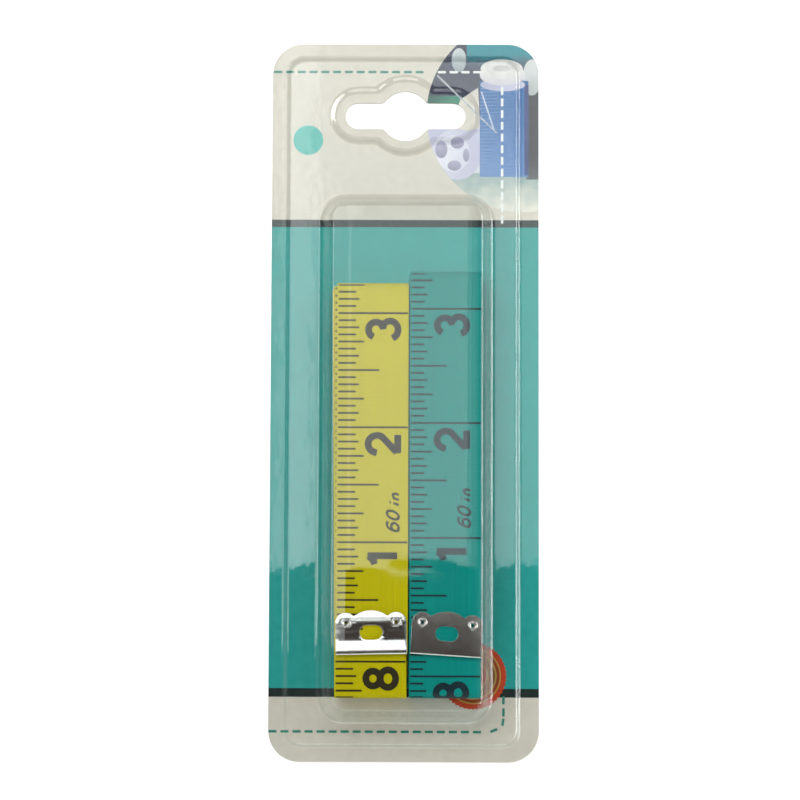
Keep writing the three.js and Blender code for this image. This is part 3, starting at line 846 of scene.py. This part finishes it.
SAG_REACH, SAG_RATE = 4.8, 0.02
roof_half = POCKET_BASE["half"] - (LEFT_LEAN + RIGHT_LEAN) / 2
roof_middle = POCKET_BASE["middle"] + roof_shift
for vert in sheet.data.vertices:
    beside = max(abs(vert.co.x / MM - roof_middle) - (roof_half - SAG_REACH), 0)
    share = max(vert.co.z / MM - PLATEAU, 0) / RISE
    vert.co.z -= SAG_RATE * min(beside, SAG_REACH) ** 2 * share * MM
if max(sheet.data.polygons, key=lambda face: face.center.z).normal.z < 0:
    sheet.data.flip_normals()
wall = sheet.modifiers.new("thickness", "SOLIDIFY")
wall.thickness = SHEET * MM
wall.offset = -1
wall.use_even_offset = True
apply_all(sheet)

# %% [markdown]
# ## Clear plastic
#
# A thin sheet doesn't shift what lies behind it, so the light goes straight through. Where the sheet
# turns from flat to steep it dims a little, which draws thin dark lines along the bends. Each of its
# two faces mirrors a few per cent, rising towards the edges, and most on the low plateau. The steep
# walls were drawn thin in the mould, and are slightly milky. Forming leaves slow ripples, which make
# the mirrored lamp wavy, and near the card the sheet takes a fine pebble from the board.

# %% Clear finish
MIRROR_STEEP, MIRROR_FLAT, MIRROR_ROUGHNESS = 0.3, 0.056, 0.035
MIRROR_BY_HEIGHT = [(0.06, (0.66,) * 3), (0.11, (0.9,) * 3), (0.17, (0.9,) * 3), (0.85, (0.7,) * 3)]
HEIGHT_TOP, NEAR_CARD = 15, 2.5
TINT = [(0.0, (0.985, 0.99, 0.985)), (0.22, (0.975, 0.98, 0.975)), (0.45, (0.86, 0.89, 0.88)),
        (0.74, (0.9, 0.92, 0.915)), (0.84, (0.96, 0.97, 0.965))]
MILK = [(0.83, (0, 0, 0)), (0.875, (0.1,) * 3), (0.93, (0.05,) * 3)]
RIPPLE, RIPPLE_DEPTH = (1000 / 13, 1000 / 9, 1000 / 13), 0.05
PEBBLE, PEBBLE_DEPTH = (1000 / 1.3, 1000 / 2.4, 1000 / 1.3), 0.009

clear, shader, add = new_finish("clear_sheet", (0.9, 0.95, 0.94, 1), 0.05)
clear.node_tree.nodes.remove(shader)
place = add("TexCoord").outputs["Object"]
height = add("SeparateXYZ", place).outputs["Z"]
ripple = cloud_of(add, RIPPLE, 1.5, 0.4, place)
wavy = add("Bump", Strength=1.0, Distance=RIPPLE_DEPTH * MM, Height=ripple)
low_down = add("Math", height, NEAR_CARD * MM, operation="LESS_THAN")
pebble = add("Math", cloud_of(add, PEBBLE, 1.0, 0.4, place), low_down.outputs[0], operation="MULTIPLY")
fine = add("Bump", Strength=1.0, Distance=PEBBLE_DEPTH * MM, Height=pebble.outputs[0],
           Normal=wavy.outputs["Normal"])

facing = add("LayerWeight", Blend=0.5).outputs["Facing"]
steep = add("Math", facing, 5.0, operation="POWER")
share = add("Math", steep.outputs[0], MIRROR_STEEP, MIRROR_FLAT, operation="MULTIPLY_ADD")
level = add("MapRange", height, **{"From Max": HEIGHT_TOP * MM})
gain = ramp_of(add, level.outputs["Result"], MIRROR_BY_HEIGHT)
mirror_share = add("Math", share.outputs[0], gain, operation="MULTIPLY")

through = add("BsdfTransparent", ramp_of(add, facing, TINT))
milk = add("BsdfDiffuse", (0.9, 0.92, 0.92, 1))
milky = add("MixShader", ramp_of(add, facing, MILK), through.outputs[0], milk.outputs[0])
gloss = add("BsdfGlossy", Color=(1, 1, 1, 1), Roughness=MIRROR_ROUGHNESS, Normal=fine.outputs["Normal"])
mixed = add("MixShader", mirror_share.outputs[0], milky.outputs[0], gloss.outputs[0])
feed(clear.node_tree.nodes["Material Output"], "Surface", mixed.outputs[0])
sheet.data.materials.append(clear)
finish_piece(sheet, "clear_sheet", "blister", ["front_blister"], 35)

# %% [markdown]
# ## The tapes
#
# A cloth tape measure is a woven ribbon with a coloured coat, 60 inches long. It is made here as it
# is made in life: a flat ribbon, printed, and only then wound. The path that it is wound along lies
# in the YZ plane. Run 0 is the outer layer of the front, run 1 the outer layer of the back, and so
# on inwards, with a fold after each run, and the inner end lies in the middle of the core.

# %% Sizes of the ribbon and its winding
TAPE_LENGTH, TAPE_WIDTH, TAPE_THICKNESS = 1524.0, 15.875, 0.3
PITCH = TAPE_THICKNESS + 0.41
LEAST_FOLD, FOLD_STEPS = 0.4, 8
CLIP_HEIGHT, RAMP = 9.75, 9.0
RAMP_STEPS = 8
TAIL = CLIP_HEIGHT + RAMP + 6.0
CLEAR_LAYER = 1.05
END_LIFT = CLEAR_LAYER - PITCH
TAPES = {
    "yellow": {"length": 92.0, "fold": 1.6, "zero": 9.6, "skew": 1.2, "lean": 1.0},
    "teal": {"length": 94.7, "fold": 2.3, "zero": 9.35, "skew": -3.6, "lean": 0.3},
}


def ease(share):
    within = min(max(share, 0), 1)
    return within * within * (3 - 2 * within)


# %% The path of a winding
def winding_path(tape, last, drawn):
    """Stations (along, y, z, heading) of a winding with a number of folds, from the zero end."""
    outer = CLEAR_LAYER + (last - 1) // 2 * PITCH
    half = (tape["length"] - TAPE_THICKNESS) / 2

    def place(fold):
        back = last - 1 - fold
        return half - fold // 2 * PITCH - (drawn[back] if 0 <= back < len(drawn) else 0)

    def span(fold):
        return 2 * outer - (fold // 2 + (fold + 1) // 2) * PITCH

    def radius(fold):
        return min(max(tape["fold"] - fold // 2 * PITCH, LEAST_FOLD), span(fold) / 2)

    stations = [(0.0, tape["zero"] - tape["length"] / 2, outer, 0.0)]

    def go(length, turned=0.0):
        along, y, z, heading = stations[-1]
        middle = heading - turned / 2
        y, z = y + length * math.cos(middle), z + length * math.sin(middle)
        stations.append((along + length, y, z, heading - turned))

    quarter = math.pi / 2 / FOLD_STEPS
    for fold in range(last):
        start = stations[0][1] if fold == 0 else radius(fold - 1) - place(fold - 1)
        go(place(fold) - radius(fold) - start)
        for side in range(2):
            for step in range(FOLD_STEPS):
                go(2 * radius(fold) * math.sin(quarter / 2), quarter)
            if side == 0:
                go(span(fold) - 2 * radius(fold))
    room = place(last - 1) - radius(last - 1) + place(last) - radius(last)
    return stations, outer, room


def wind(tape):
    """Adds folds until the tape ends in a run, and draws the last ones in if the end is short."""
    last = 2
    stations, outer, room = winding_path(tape, last, [])
    while stations[-1][0] + room < TAPE_LENGTH:
        last += 1
        stations, outer, room = winding_path(tape, last, [])
    missing = max(TAIL - (TAPE_LENGTH - stations[-1][0]), 0)
    earlier = max(missing + TAIL - room, 0)
    if missing > 0:
        stations, outer, room = winding_path(tape, last, [max(missing - 2 * earlier, 0), earlier])
    return stations, outer


# %% [markdown]
# The two ends need more than the plain winding. Under the zero clip the tape lies a little higher,
# because the clip's back leaf is below it, and the inner end sinks to the middle of the core. Both
# changes ease in along a ramp.

# %% The route in the part's own place
def ramp_places(start):
    return [start + RAMP * i / RAMP_STEPS for i in range(RAMP_STEPS + 1)]


def tape_route(name):
    """The winding's stations in the part's own place: along, x, y, z, all in millimetres."""
    tape = TAPES[name]
    stations, outer = wind(tape)
    low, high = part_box(name + "_tape")
    middle_x = (low.x + high.x) / 2 / MM
    middle_y = low.y / MM + tape["length"] / 2
    middle_z = low.z / MM + outer + TAPE_THICKNESS / 2
    along, y, z, heading = stations[-1]
    tail = TAPE_LENGTH - along
    ramp = tail - CLIP_HEIGHT - RAMP
    forward = math.cos(heading)
    points = []
    for distance in [0.0] + ramp_places(CLIP_HEIGHT):
        lift = END_LIFT * (1 - ease((distance - CLIP_HEIGHT) / RAMP))
        points.append((stations[0][1] + distance, stations[0][2] + lift))
    points += [station[1:3] for station in stations[1:]]
    for distance in ramp_places(ramp) + [tail]:
        drop = abs(z) * ease((distance - ramp) / RAMP)
        points.append((y + forward * distance, z - forward * drop))
    route, walked, last = [], 0.0, points[0]
    for point in points:
        walked += math.dist(point, last)
        route.append((walked, middle_x, point[0] + middle_y, point[1] + middle_z))
        last = point
    print(name, "winding:", round(walked, 1), "mm of tape,", len(route), "stations")
    return route


# %% [markdown]
# ## The inch marks
#
# The marks are thin plates on the flat ribbon. One inch of them is made, and an array repeats it
# along the whole tape. The finer the fraction of an inch, the shorter its mark.

# %% Marks of the tapes
TAPE_FACE = TAPE_THICKNESS / 2
PRINT_LOW, PRINT_HIGH = TAPE_FACE - 0.03, TAPE_FACE + 0.018
TICK_HALF, INCH_MARGIN = 0.21, 0.15
PARTS, INCHES = 16, 60


def bar(low, high, base=PRINT_LOW, top=PRINT_HIGH):
    """A thin plate on the flat tape, between two corners (along, across)."""
    corners = ((*low, base), (*high, top))
    bpy.ops.mesh.primitive_cube_add(size=1)
    plate = bpy.context.object
    plate.scale = [(end - start) * MM for start, end in zip(*corners)]
    plate.location = [(start + end) / 2 * MM for start, end in zip(*corners)]
    bpy.ops.object.transform_apply(location=True, rotation=True, scale=True)
    return plate


def tick_marks(edge, ends):
    """The marks of one inch, repeated along the whole tape."""
    half = TAPE_WIDTH / 2
    inch = []
    for part in range(PARTS):
        rank = sum(part % size == 0 for size in (2, 4, 8))
        reach = half - ends[rank] if part else INCH_MARGIN - half
        along = part * INCH / PARTS
        inch.append(bar((along - TICK_HALF, reach), (along + TICK_HALF, half - edge)))
    marks = join(inch)
    repeat(marks, INCHES, (INCH, 0, 0))
    return marks


# %% [markdown]
# ## Figures
#
# The figures are bold and drawn with one even stroke. Each is a few lines and arcs on a box one wide
# and one high, and a flat nib is swept along them, as a pen would be. Where two strokes cross, the
# second lies a hair higher, so that their faces don't fight.

# %% Strokes of the figures
def bow(middle_x, middle_y, wide, high, start, end, steps=12):
    """Part of an oval, between two angles."""
    turns = [math.radians(start + (end - start) * i / steps) for i in range(steps + 1)]
    return [(middle_x + wide * math.cos(t), middle_y + high * math.sin(t)) for t in turns]


FIGURES = {
    "0": [bow(0.5, 0.5, 0.46, 0.5, 0, 360, 24)],
    "1": [[(0.68, 0.0), (0.68, 1.0)], [(0.22, 0.76), (0.46, 0.81), (0.66, 0.97)]],
    "2": [bow(0.5, 0.69, 0.47, 0.31, 178, -28) + [(0.05, 0.03)], [(0.0, 0.0), (1.0, 0.0)]],
    "3": [bow(0.5, 0.745, 0.42, 0.255, 160, -86), bow(0.5, 0.27, 0.48, 0.27, 84, -164)],
    "4": [[(0.7, 1.0), (0.02, 0.3)], [(0.0, 0.26), (1.0, 0.26)], [(0.7, 1.0), (0.7, 0.0)]],
    "5": [[(0.9, 1.0), (0.16, 1.0)], [(0.18, 1.0), (0.1, 0.5)], bow(0.5, 0.33, 0.46, 0.33, 148, -158)],
    "6": [bow(0.5, 0.31, 0.46, 0.31, 0, 360, 20), bow(0.54, 0.52, 0.5, 0.48, 48, 192)],
    "7": [[(0.0, 1.0), (1.0, 1.0)], bow(1.3, 0.0, 0.9, 1.06, 110, 180)],
    "8": [bow(0.5, 0.76, 0.4, 0.24, 0, 360, 20), bow(0.5, 0.26, 0.47, 0.26, 0, 360, 20)],
    "9": [bow(0.5, 0.69, 0.46, 0.31, 0, 360, 20), bow(0.46, 0.48, 0.5, 0.48, 228, 372)],
    "i": [[(0.5, 0.0), (0.5, 0.45)], [(0.5, 0.66), (0.5, 0.78)]],
    "n": [[(0.0, 0.0), (0.0, 0.5)], bow(0.5, 0.24, 0.46, 0.26, 160, 0, 8) + [(0.96, 0.0)]],
}
STROKE_LIFT, FIGURE_GAP = 0.003, 0.35

# %% Drawing a figure
def draw_line(spline, points):
    """Sets the points of a curve, and closes it where it ends at its start."""
    spline.use_cyclic_u = math.dist(points[0], points[-1]) < MERGE * MM
    if spline.use_cyclic_u:
        points = points[:-1]
    spline.points.add(len(points) - 1)
    for point, place in zip(spline.points, points):
        point.co = (*place, 1)


def draw_figure(figure, width, height, stroke):
    """One figure as a mesh, lying on the flat tape with its lower left corner at the origin."""
    nib_data = bpy.data.curves.new("nib", "CURVE")
    corners = flat(box_points(-stroke / 2, PRINT_LOW, stroke / 2, PRINT_HIGH), 0)
    draw_line(nib_data.splines.new("POLY"), corners + corners[:1])
    nib = new_object("nib", nib_data)
    pen = bpy.data.curves.new("figure", "CURVE")
    pen.dimensions = "3D"
    pen.twist_mode = "Z_UP"
    pen.bevel_mode = "OBJECT"
    pen.bevel_object = nib
    pen.use_fill_caps = True
    for order, line in enumerate(FIGURES[figure]):
        points = [(stroke / 2 + x * (width - stroke), stroke / 2 + y * (height - stroke)) for x, y in line]
        draw_line(pen.splines.new("POLY"), flat(points, order * STROKE_LIFT))
    only(new_object("figure_" + figure, pen))
    bpy.ops.object.convert(target="MESH")
    bpy.data.objects.remove(nib)
    drawn = bpy.context.object
    edit(drawn)
    close_outwards()
    return drawn


def place_figures(number, along, top, stock, width, slant=0.0):
    """Copies the figures of a number onto the tape, ending at a place along it."""
    copies = []
    for index, figure in enumerate(reversed(str(number))):
        copy = new_object(figure, stock[figure].data.copy())
        start = (along - width * (index + 1) - FIGURE_GAP * index) * MM
        for vert in copy.data.vertices:
            vert.co.x += start + slant * vert.co.y
            vert.co.y += top * MM
        copies.append(copy)
    return copies


# %% [markdown]
# ## Coat and ink of the tapes
#
# The coat is a thin vinyl film on a weave. It shows faint streaks along the tape, and the threads
# stand through it as a very fine grid. Both are laid out on the flat ribbon's own map, so that they
# follow it round every fold. The ink is nearly black, and mottled where the weave lifts it.

# %% Finishes of the tapes
COAT_SHINE = 0.05
STREAKS, THREADS, THREAD_DEPTH = (25.0, 2600.0, 1.0), (330.0, 560.0, 1.0), 0.03


def tape_finish(name, colour, deep, pale):
    """A coated weave: faint streaks along the tape, and threads that show through the coat."""
    finish = new_finish(name, linear(*colour), 0.42)
    _, shader, add = finish
    shader.inputs["Specular IOR Level"].default_value = COAT_SHINE
    strip = add("UVMap", uv_map="flat").outputs["UV"]
    streak = cloud_of(add, STREAKS, 4.0, 0.6, strip)
    feed(shader, "Base Color", ramp_of(add, streak, [(0.32, linear(*deep)), (0.68, linear(*pale))]))
    close = add("Mapping", strip, Scale=THREADS).outputs["Vector"]
    warp, weft = (
        add("TexWave", close, Scale=1.0, Distortion=0.0, bands_direction=way).outputs["Fac"] for way in "YX"
    )
    woven = add("Math", warp, weft, operation="MULTIPLY")
    roughen(finish, THREAD_DEPTH, woven.outputs[0], 0.5)
    return finish


TAPE_FINISH = {
    "yellow": tape_finish("yellow_coat", (186, 175, 2), (181, 170, 1), (192, 182, 5)),
    "teal": tape_finish("teal_coat", (2, 134, 126), (1, 129, 121), (4, 141, 133)),
}
TAPE_INK = {
    "yellow": mottled("yellow_tape_ink", 0.45, 0.6, (40, 34, 10), (34, 28, 7), (48, 41, 14)),
    "teal": mottled("teal_tape_ink", 0.45, 0.6, (8, 38, 46), (5, 32, 40), (12, 45, 53)),
}

# %% [markdown]
# ## Winding
#
# A Curve modifier bends the flat piece along the route, and an edge is cut wherever it has to bend.
# The layers of a hand-wound tape don't lie quite over each other, so the deeper ones are then moved
# a little to the left, more so towards the head, which shows their edges beside the top layer.

# %% Winding a flat piece
DRIFT, DRIFT_FROM = 0.25, (80, 20)
LEANING = [(0.55, 188, 10), (0.3, 385, 10)]
FADE_FROM = (1100, 400)


def drift(along, rise):
    """How far a layer lies to the left of the outermost one, in millimetres, more so at the head."""
    inner = ease((along - FADE_FROM[0]) / FADE_FROM[1])
    leaning = sum(reach * ease((along - start) / run) - reach * inner for reach, start, run in LEANING)
    everywhere = DRIFT * ease((along - DRIFT_FROM[0]) / DRIFT_FROM[1]) - DRIFT * inner
    return everywhere + leaning * min(max(rise, 0), 1)


def wind_up(piece, route, lean):
    """Bends a flat piece along the route, then lets the deeper layers drift sideways."""
    layer = piece.data.uv_layers.new(name="flat")
    for loop in piece.data.loops:
        layer.data[loop.index].uv = piece.data.vertices[loop.vertex_index].co.xy
    data = bpy.data.curves.new("route", "CURVE")
    data.dimensions = "3D"
    data.twist_mode = "MINIMUM"
    draw_line(data.splines.new("POLY"), [(x * MM, y * MM, z * MM) for _, x, y, z in route])
    guide = new_object("route", data)
    bend = piece.modifiers.new("wind", "CURVE")
    bend.object = guide
    bend.deform_axis = "POS_X"
    apply_all(piece)
    bpy.data.objects.remove(guide)
    uvs = piece.data.uv_layers["flat"].data
    places = {loop.vertex_index: uvs[loop.index].uv[0] / MM for loop in piece.data.loops}
    foot = min(y for _, _, y, _ in route)
    long = max(y for _, _, y, _ in route) - foot
    for index, along in places.items():
        vert = piece.data.vertices[index]
        vert.co.x -= lean * drift(along, (vert.co.y / MM - foot) / long) * MM


# %% Ribbons
RIBBON_START, RIBBON_EDGE = 0.6, 0.07
HOLE_RADIUS, HOLE_STEPS = 0.76, 24
EYELETS = ("zero_eyelet_1", "zero_eyelet_2", "inner_eyelet_1", "inner_eyelet_2")


def make_ribbon(name, route, places):
    """The coated ribbon, with a hole for each eyelet."""
    half = TAPE_WIDTH / 2
    ribbon = bar((RIBBON_START, -half), (route[-1][0], half), -TAPE_FACE, TAPE_FACE)
    edit(ribbon)
    take_all()
    bpy.ops.mesh.bevel(offset=RIBBON_EDGE * MM, segments=2, affect="EDGES")
    cut_across(places)
    close_edit()
    wind_up(ribbon, route, TAPES[name]["lean"])
    ribbon.data.materials.append(TAPE_FINISH[name][0])
    for eyelet_name in EYELETS:
        low, high = (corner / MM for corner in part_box(name + "_" + eyelet_name))
        hole = flat(ring_of((low + high) / 2, HOLE_RADIUS, HOLE_STEPS), low.z)
        cut_away(ribbon, prism(hole, high.z - low.z))
    finish_piece(ribbon, name + "_ribbon", name + "_measure", [name + "_tape"], 50)
    return ribbon


# %% Print
PRINT = {
    "yellow": {"shift": -0.7, "edge": 0.32, "ends": (4.2, 4.9, 6.05, 9.4), "top": 6.2, "small": 14.1},
    "teal": {"shift": 0.55, "edge": 0.25, "ends": (3.15, 3.85, 4.97, 8.2), "top": 5.2, "small": 13.6},
}
FIGURE_HEIGHT, FIGURE_WIDTH, FIGURE_STROKE, FIGURE_BACK = 8.1, 5.6, 1.52, 0.9
SMALL_PRINT = [("6", 2.4, 29.6), ("0", 2.4, 32.1), ("i", 1.1, 34.1), ("n", 1.7, 36.1)]
SMALL_HEIGHT, SMALL_STROKE, SMALL_SLANT = 3.2, 0.56, 0.32
PRINT_START, BEND_LENGTH = 0.8, 2

large = {figure: draw_figure(figure, FIGURE_WIDTH, FIGURE_HEIGHT, FIGURE_STROKE) for figure in "0123456789"}
small = {figure: draw_figure(figure, width, SMALL_HEIGHT, SMALL_STROKE) for figure, width, _ in SMALL_PRINT}


def make_print(name, route, places):
    """Marks and figures of one tape, cut off at its end and cut across at both ends of each bend."""
    layout = PRINT[name]
    half = TAPE_WIDTH / 2
    pieces = [tick_marks(layout["edge"], layout["ends"])]
    top = half - layout["top"] - FIGURE_HEIGHT
    for number in range(1, INCHES):
        pieces += place_figures(number, number * INCH - FIGURE_BACK, top, large, FIGURE_WIDTH)
    for figure, width, along in SMALL_PRINT:
        pieces += place_figures(figure, along, half - layout["small"], small, width, SMALL_SLANT)
    ink = join(pieces)
    for vert in ink.data.vertices:
        vert.co.x += layout["shift"] * MM
    edit(ink)
    take_all()
    bpy.ops.mesh.bisect(plane_co=(PRINT_START * MM, 0, 0), plane_no=(1, 0, 0), clear_inner=True)
    bends = {end for pair in zip(places, places[1:]) if pair[1] - pair[0] < BEND_LENGTH for end in pair}
    cut_across(sorted(bends))
    close_edit()
    wind_up(ink, route, TAPES[name]["lean"])
    ink.data.materials.append(TAPE_INK[name][0])
    finish_piece(ink, name + "_print", name + "_measure", (), 30)
    return ink


# %% Both tapes
for name in TAPES:
    route = tape_route(name)
    places = [along for along, _, _, _ in route[1:-1]]
    ribbon = make_ribbon(name, route, places)
    ink = make_print(name, route, places)
for figure in (*large.values(), *small.values()):
    bpy.data.objects.remove(figure)

# %% [markdown]
# ## The end clips
#
# A clip is stamped from tin-plated sheet and folded over the tape's end. Its outline comes from the
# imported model: a copy of it gets its doubles merged and its cut edges a small round. The front leaf
# of the yellow clip also gets the slight waves that the press left in it. A wave of a tenth of a
# millimetre is enough to mirror the lamp in one band and the dark room in the next.

# %% Bright tin plate
SCRATCHES = (900, 7000, 900)
SHARPEST, SOFTEST = 0.07, 0.15
tin = new_finish("tin_plate", linear(236, 233, 229), 0.16, 1.0)
_, shader, add = tin
scratch = cloud_of(add, SCRATCHES, 4.0, 0.7)
soft = add("MapRange", scratch, **{"To Min": SHARPEST, "To Max": SOFTEST})
feed(shader, "Roughness", soft.outputs["Result"])
roughen(tin, 0.002, scratch, 0.6)
mottle(tin, 1.2, linear(229, 225, 220), linear(241, 239, 236))

# %% Clips
LEAF_WAVES = {
    "yellow": [(0.0, 0.13), (0.7, 0.15), (3.4, -0.01), (5.2, 0.03), (7.2, 0.09), (8.2, 0.07), (9.75, -0.02)],
}
WAVE_STEP, WAVE_CUTS = 0.3, 32
CLIP_MERGE, CLIP_EDGE = 0.002, 0.085
FLAT_ANGLE, EDGE_ANGLE = math.radians(1), math.radians(50)


def wave(points, along):
    """Height of the front leaf at a distance from the fold, easing from point to point."""
    for (start, low), (end, high) in zip(points, points[1:]):
        if along <= end:
            return low + (high - low) * ease((along - start) / (end - start))
    return points[-1][1]


def clean_copy(node):
    """A copy of a packed clip as one closed shell, with a small round on its cut edges."""
    copy = nodes[node].copy()
    copy.data = nodes[node].data.copy()
    bpy.context.scene.collection.objects.link(copy)
    copy.data.materials.clear()
    copy.data.materials.append(tin[0])
    edit(copy)
    take_all()
    bpy.ops.mesh.remove_doubles(threshold=CLIP_MERGE * MM)
    bpy.ops.mesh.dissolve_limited(angle_limit=FLAT_ANGLE)
    close_edit()
    edge = copy.modifiers.new("edge", "BEVEL")
    edge.width = CLIP_EDGE * MM
    edge.segments = 2
    edge.limit_method = "ANGLE"
    edge.angle_limit = EDGE_ANGLE
    apply_all(copy)
    return copy


def dress_clip(node, body, waves=None, middle=None, skew=0.0):
    """The clip of a node, in tin plate, with waves in its front leaf where they are given."""
    clip = clean_copy(node)
    if waves:
        up = Vector((-math.sin(skew), math.cos(skew), 0))
        edit(clip)
        take_all()
        bpy.ops.mesh.quads_convert_to_tris()
        cut_across([WAVE_STEP * step for step in range(1, WAVE_CUTS + 1)], up, middle)
        close_edit()
        for vert in clip.data.vertices:
            if vert.co.z > middle.z:
                vert.co.z += wave(waves, (vert.co - middle).dot(up) / MM) * MM
    finish_piece(clip, node.replace("clip", "end_clip"), body, [node], 32)
    clip.modifiers.new("even", "WEIGHTED_NORMAL").keep_sharp = True
    apply_all(clip)


for name, tape in TAPES.items():
    low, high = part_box(name + "_tape")
    clip_low, clip_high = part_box(name + "_zero_clip")
    middle = Vector(((low.x + high.x) / 2, low.y + tape["zero"] * MM, (clip_low.z + clip_high.z) / 2))
    skew = math.radians(tape["skew"])
    dress_clip(name + "_zero_clip", name + "_measure", LEAF_WAVES.get(name), middle, skew)
    dress_clip(name + "_inner_clip", name + "_measure")

# %% [markdown]
# ## The eyelets
#
# Two small hollow rivets hold each clip: a barrel through both leaves and the tape, rolled over at
# both ends. The roll runs down into the bore like a funnel. Each is one ring, extruded along the
# outline of its wall until it meets itself.

# %% Eyelets
plate = new_finish("eyelet_plate", linear(222, 220, 216), 0.2, 1.0)
roughen(plate, 0.006, mottle(plate, 0.35, linear(204, 201, 196), linear(232, 230, 227)), 0.6)
BORE, BARREL, RIM, ROLL = 0.3, 0.75, 1.1, 0.2
WALL = [
    (BORE, -0.62), (BORE, -0.5), (BORE + 0.06, -0.36), (BORE + 0.16, -0.22), (BORE + 0.3, -0.09),
    (BORE + 0.44, -0.02), (RIM - 0.25, 0.0), (RIM - 0.12, -0.03), (RIM - 0.03, -0.1), (RIM, -ROLL),
    (BARREL, -ROLL),
]
EYELET_ALONG, EYELET_STEPS = 7.1, 28


def circle(middle, radius, z):
    turns = [2 * math.pi * i / EYELET_STEPS for i in range(EYELET_STEPS)]
    return [(middle.x + radius * MM * math.cos(t), middle.y + radius * MM * math.sin(t), z) for t in turns]


def eyelet(node, body, lift):
    """A hollow rivet in the place of a node, its upper end lifted with the leaf."""
    low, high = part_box(node)
    middle = (low + high) / 2
    top, bottom = high.z + lift * MM, low.z
    upper = [(radius, top + depth * MM) for radius, depth in WALL]
    lower = [(radius, bottom - depth * MM) for radius, depth in reversed(WALL)]
    rings = upper + lower + upper[:1]
    piece = first_ring(circle(middle, *rings[0]))
    for ring in rings[1:]:
        next_ring(piece, circle(middle, *ring))
    close_outwards(MERGE)
    piece.data.materials.append(plate[0])
    finish_piece(piece, node.replace("eyelet", "rivet"), body, [node], 50)


for name in TAPES:
    for end in ("zero", "inner"):
        waved = end == "zero" and name in LEAF_WAVES
        lift = wave(LEAF_WAVES[name], EYELET_ALONG) if waved else 0.0
        for side in (1, 2):
            eyelet(f"{name}_{end}_eyelet_{side}", name + "_measure", lift)
